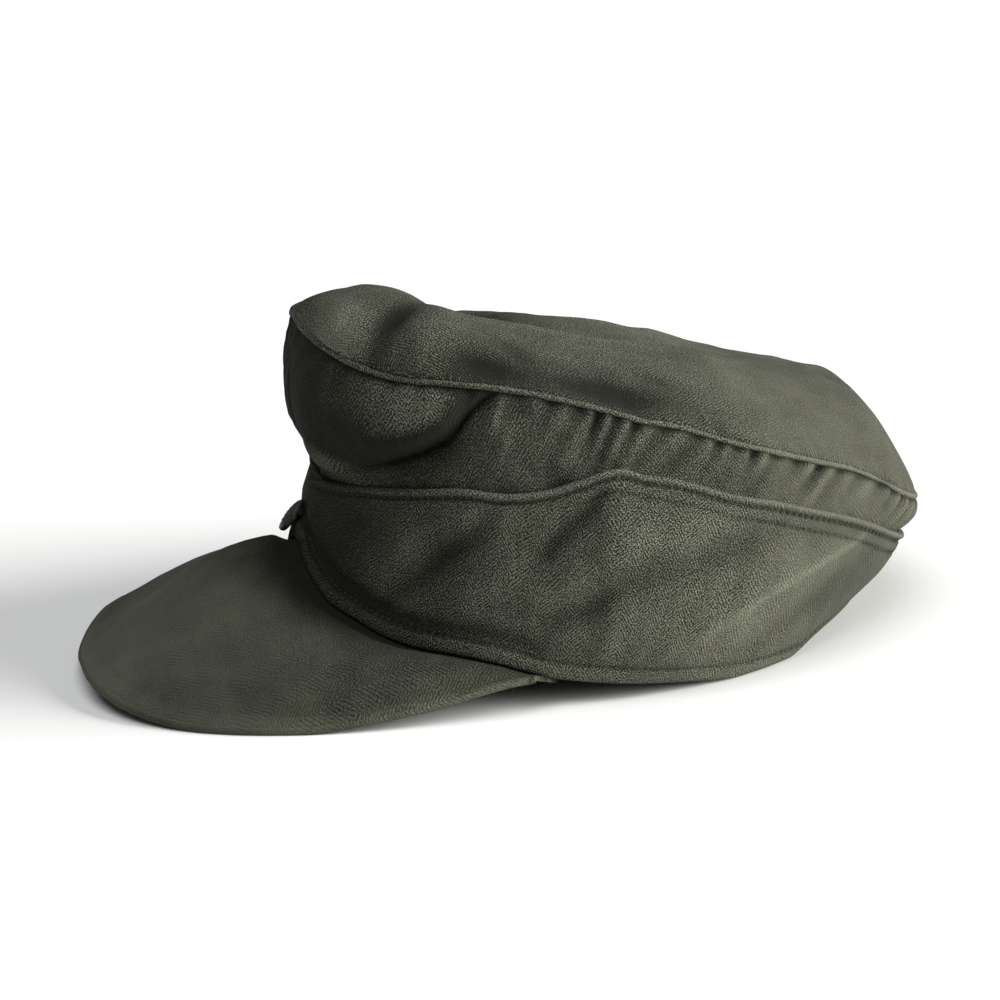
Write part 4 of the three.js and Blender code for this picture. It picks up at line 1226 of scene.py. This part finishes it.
# Pebbled button on a short shank. Its profile runs from the shank's foot to the middle of the face.
buttonShape = {
    "shankRadius": 1.8, "shankLength": 2.4, "angle": -3, "height": 46.6, "tilt": 42, "turn": 14, "sides": 96,
    "backRows": 30, "faceStep": 8, "faceRows": 26, "faceEdge": (5.2, 4.6), "pebblesFrom": 8.3,
    "pebbleHeight": 0.16, "pebblePitch": 1.15, "pebbleSeed": 61, "pebbleWaves": 24, "pebbleLimit": 1.2,
}
buttonProfile = {
    "step": [0, 1, 2, 3, 4, 5, 6, 7, 8, 9, 10],
    "across": [0, 1.8, 1.8, 5.4, 6.2, 6.5, 6.4, 6.0, 5.6, 3.4, 0],
    "high": [-2.4, -2.4, -0.3, 0.15, 0.7, 1.3, 2.0, 2.5, 2.45, 3.05, 3.4],
}
buttonLook = {
    "dark": (0.016, 0.017, 0.016, 1), "wearAndPaintedLight": (0.075, 0.078, 0.07, 1), "wearNoise": (420, 3, 0.6),
    "wearEdges": (0.45, 0.72), "dullNoise": (260, 2), "dullness": (0.3, 0.7, 0.38, 0.62),
    "grainNoise": (900, 2), "grainDepth": 0.1, "specular": 0.4,
}


def makeButtonMaterial():
    look = buttonLook
    material, tree, shader = newMaterial("buttonPaint")
    place = tree.nodes.new("ShaderNodeTexCoord").outputs["Object"]
    wearAndPaintedLight = spread(tree, noiseOf(tree, place, *look["wearNoise"]), *look["wearEdges"])
    tree.links.new(mixColour(tree, wearAndPaintedLight, look["dark"], look["wearAndPaintedLight"]), shader["Base Color"])
    dull = spread(tree, noiseOf(tree, place, *look["dullNoise"]), *look["dullness"])
    tree.links.new(dull, shader["Roughness"])
    addRelief(tree, shader, noiseOf(tree, place, *look["grainNoise"]), 1, look["grainDepth"])
    shader["Specular IOR Level"].default_value = look["specular"]
    return material


def buttonFrame():
    shape = buttonShape
    angle = np.array(float(shape["angle"]))
    rim, edge = lineRound("rim", angle), lineRound("turnUp", angle)
    share = (shape["height"] - rim[2]) / (edge[2] - rim[2]) * turnUpShare(angle)
    face, out = sideForm(angle, share), normalOf(sideForm, angle, share)
    tilt, turn = np.radians(shape["tilt"]), np.radians(shape["turn"])
    facing = np.array([-np.cos(tilt) * np.sin(turn), -np.cos(tilt) * np.cos(turn), np.sin(tilt)])
    lean = np.arccos(np.clip(out @ facing, -1, 1))
    clear = turnUpShape["wall"] + 2 * capShape["seat"] + shape["shankRadius"] * np.sin(lean)
    return face + out * clear + facing * shape["shankLength"], facing


def makeButton():
    shape = buttonShape
    base, facing = buttonFrame()
    aside = unit(np.cross([0, 0, 1.0], facing))
    upward = np.cross(facing, aside)
    steps = np.linspace(shape["faceStep"], buttonProfile["step"][-1], shape["faceRows"])[1:]
    steps = np.concatenate([np.linspace(0, shape["faceStep"], shape["backRows"]), steps])
    across = along(buttonProfile, "across", steps)[:, None]
    high = along(buttonProfile, "high", steps)[:, None]
    across[0] = across[-1] = 0
    turn = np.linspace(0, 2 * np.pi, shape["sides"], endpoint=False)[None, :]
    flatX, flatY = across * np.cos(turn), across * np.sin(turn)
    pebbles = softNoise(flatX, flatY, shape["pebblePitch"], shape["pebbleSeed"], shape["pebbleWaves"])
    pebbles = np.clip(pebbles, -shape["pebbleLimit"], shape["pebbleLimit"])
    onFace = ease(across, *shape["faceEdge"]) * ease(steps[:, None], shape["faceStep"], shape["pebblesFrom"])
    high = high + shape["pebbleHeight"] * pebbles * onFace
    points = base + flatX[..., None] * aside + flatY[..., None] * upward + high[..., None] * facing
    uvs = np.stack([flatX, flatY], -1) / clothUnit
    piece = gridMesh("frontButton", points, uvs, makeButtonMaterial(), closesColumns=True)
    return finishPiece(piece, "button_paint", "button")


makeButton()
print("button made")

# Rows of stitches along the seams, each stitch a small thread that dips in at both ends
stitchLook = {
    "pitch": 2.6, "length": 1.9, "width": 0.45, "height": 0.3, "seed": 7, "sizes": (0.82, 1.12),
    "segments": 8, "rings": 6, "points": 900, "aboveGroove": 0.12, "colour": (0.022, 0.022, 0.016),
    "paler": 1.5, "noise": (500, 2), "roughness": 0.8,
}


def makeStitchTree():
    tree = bpy.data.node_groups.new("stitchRow", "GeometryNodeTree")
    sockets = [("Geometry", "Geometry"), ("Pitch", "Float"), ("Length", "Float"), ("Width", "Float"),
               ("Height", "Float"), ("Seed", "Int"), ("Thread", "Material")]
    for label, kind in sockets:
        tree.interface.new_socket(label, in_out="INPUT", socket_type="NodeSocket" + kind)
    tree.interface.new_socket("Geometry", in_out="OUTPUT", socket_type="NodeSocketGeometry")
    given = tree.nodes.new("NodeGroupInput").outputs
    made = tree.nodes.new("NodeGroupOutput").inputs
    curve = tree.nodes.new("GeometryNodeMeshToCurve")
    resample = tree.nodes.new("GeometryNodeResampleCurve")
    resample.mode = "LENGTH"
    stitch = tree.nodes.new("GeometryNodeMeshUVSphere")
    stitch.inputs["Segments"].default_value = stitchLook["segments"]
    stitch.inputs["Rings"].default_value = stitchLook["rings"]
    stitch.inputs["Radius"].default_value = 0.5
    tangent = tree.nodes.new("GeometryNodeInputTangent")
    outward = tree.nodes.new("GeometryNodeInputNamedAttribute")
    outward.data_type = "FLOAT_VECTOR"
    outward.inputs["Name"].default_value = "outward"
    axes = tree.nodes.new("FunctionNodeAxesToRotation")
    axes.primary_axis = "X"
    axes.secondary_axis = "Z"
    size = tree.nodes.new("ShaderNodeCombineXYZ")
    vary = tree.nodes.new("FunctionNodeRandomValue")
    vary.data_type = "FLOAT"
    vary.inputs[2].default_value, vary.inputs[3].default_value = stitchLook["sizes"]
    scaled = tree.nodes.new("ShaderNodeVectorMath")
    scaled.operation = "SCALE"
    place = tree.nodes.new("GeometryNodeInstanceOnPoints")
    realize = tree.nodes.new("GeometryNodeRealizeInstances")
    smooth = tree.nodes.new("GeometryNodeSetShadeSmooth")
    paint = tree.nodes.new("GeometryNodeSetMaterial")
    joins = [
        (given["Geometry"], curve.inputs["Mesh"]), (curve.outputs[0], resample.inputs["Curve"]),
        (given["Pitch"], resample.inputs["Length"]), (resample.outputs[0], place.inputs["Points"]),
        (stitch.outputs["Mesh"], place.inputs["Instance"]), (tangent.outputs[0], axes.inputs[0]),
        (outward.outputs[0], axes.inputs[1]), (axes.outputs[0], place.inputs["Rotation"]),
        (given["Length"], size.inputs[0]), (given["Width"], size.inputs[1]),
        (given["Height"], size.inputs[2]), (size.outputs[0], scaled.inputs[0]),
        (vary.outputs[1], scaled.inputs["Scale"]),
        (given["Seed"], vary.inputs["Seed"]), (scaled.outputs[0], place.inputs["Scale"]),
        (place.outputs[0], realize.inputs[0]), (realize.outputs[0], smooth.inputs[0]),
        (smooth.outputs[0], paint.inputs["Geometry"]), (given["Thread"], paint.inputs["Material"]),
        (paint.outputs[0], made[0]),
    ]
    for output, socket in joins:
        tree.links.new(output, socket)
    return tree


def makeThread():
    material, tree, shader = newMaterial("thread")
    place = tree.nodes.new("ShaderNodeTexCoord").outputs["Object"]
    colour = (*stitchLook["colour"], 1)
    paler = tuple(stitchLook["paler"] * part for part in stitchLook["colour"]) + (1,)
    noise = noiseOf(tree, place, *stitchLook["noise"])
    tree.links.new(mixColour(tree, noise, colour, paler), shader["Base Color"])
    shader["Roughness"].default_value = stitchLook["roughness"]
    return material


def sewStitches(name, rows, slotName, stitchTree, thread):
    points, outward, edges = [], [], []
    for line, normals in rows:
        start = len(points)
        points += ((line + capShift) * mm).tolist()
        outward += normals.tolist()
        edges += [(start + k, start + k + 1) for k in range(len(line) - 1)]
    mesh = bpy.data.meshes.new(name + "Path")
    mesh.from_pydata(points, edges, [])
    attribute = mesh.attributes.new("outward", "FLOAT_VECTOR", "POINT")
    attribute.data.foreach_set("vector", np.array(outward, np.float32).ravel())
    path = addObject(name + "Path", mesh)
    modifier = path.modifiers.new("stitches", "NODES")
    modifier.node_group = stitchTree
    values = {key.capitalize(): stitchLook[key] * mm for key in ("pitch", "length", "width", "height")}
    values = {**values, "Seed": stitchLook["seed"], "Thread": thread}
    for item in stitchTree.interface.items_tree:
        if item.in_out == "INPUT" and item.name in values:
            modifier[item.identifier] = values[item.name]
    evaluated = path.evaluated_get(bpy.context.evaluated_depsgraph_get())
    sewn = bpy.data.meshes.new_from_object(evaluated)
    bpy.data.objects.remove(path)
    return finishPiece(addObject(name, sewn), slotName)


# Line of a stitch row on the turn-up, at a height or at a distance below the upper edge
def turnUpRow(height=None, fromTop=0, first=6, last=374):
    turns = np.linspace(first, last, stitchLook["points"])
    tall = sideLengths(wrapped(turns))[0]
    heights = tall - fromTop if height is None else np.full_like(tall, height)
    depth = turnUpShape["wall"] - turnUpShape["grooveDepth"] + stitchLook["aboveGroove"]
    return turnUpSurface(turns, heights, np.full_like(heights, depth))


rowTwoFrom = turnUpShape["rowTwoFrom"]
stitchRows = [
    turnUpRow(fromTop=turnUpShape["rowOneAt"]),
    turnUpRow(fromTop=turnUpShape["rowTwoAt"], first=rowTwoFrom, last=2 * halfTurn - rowTwoFrom),
    turnUpRow(height=turnUpShape["lowGrooveAt"]),
]
sewStitches("turnUpStitches", stitchRows, "turn_up_cloth", makeStitchTree(), makeThread())
print("stitches sewn")
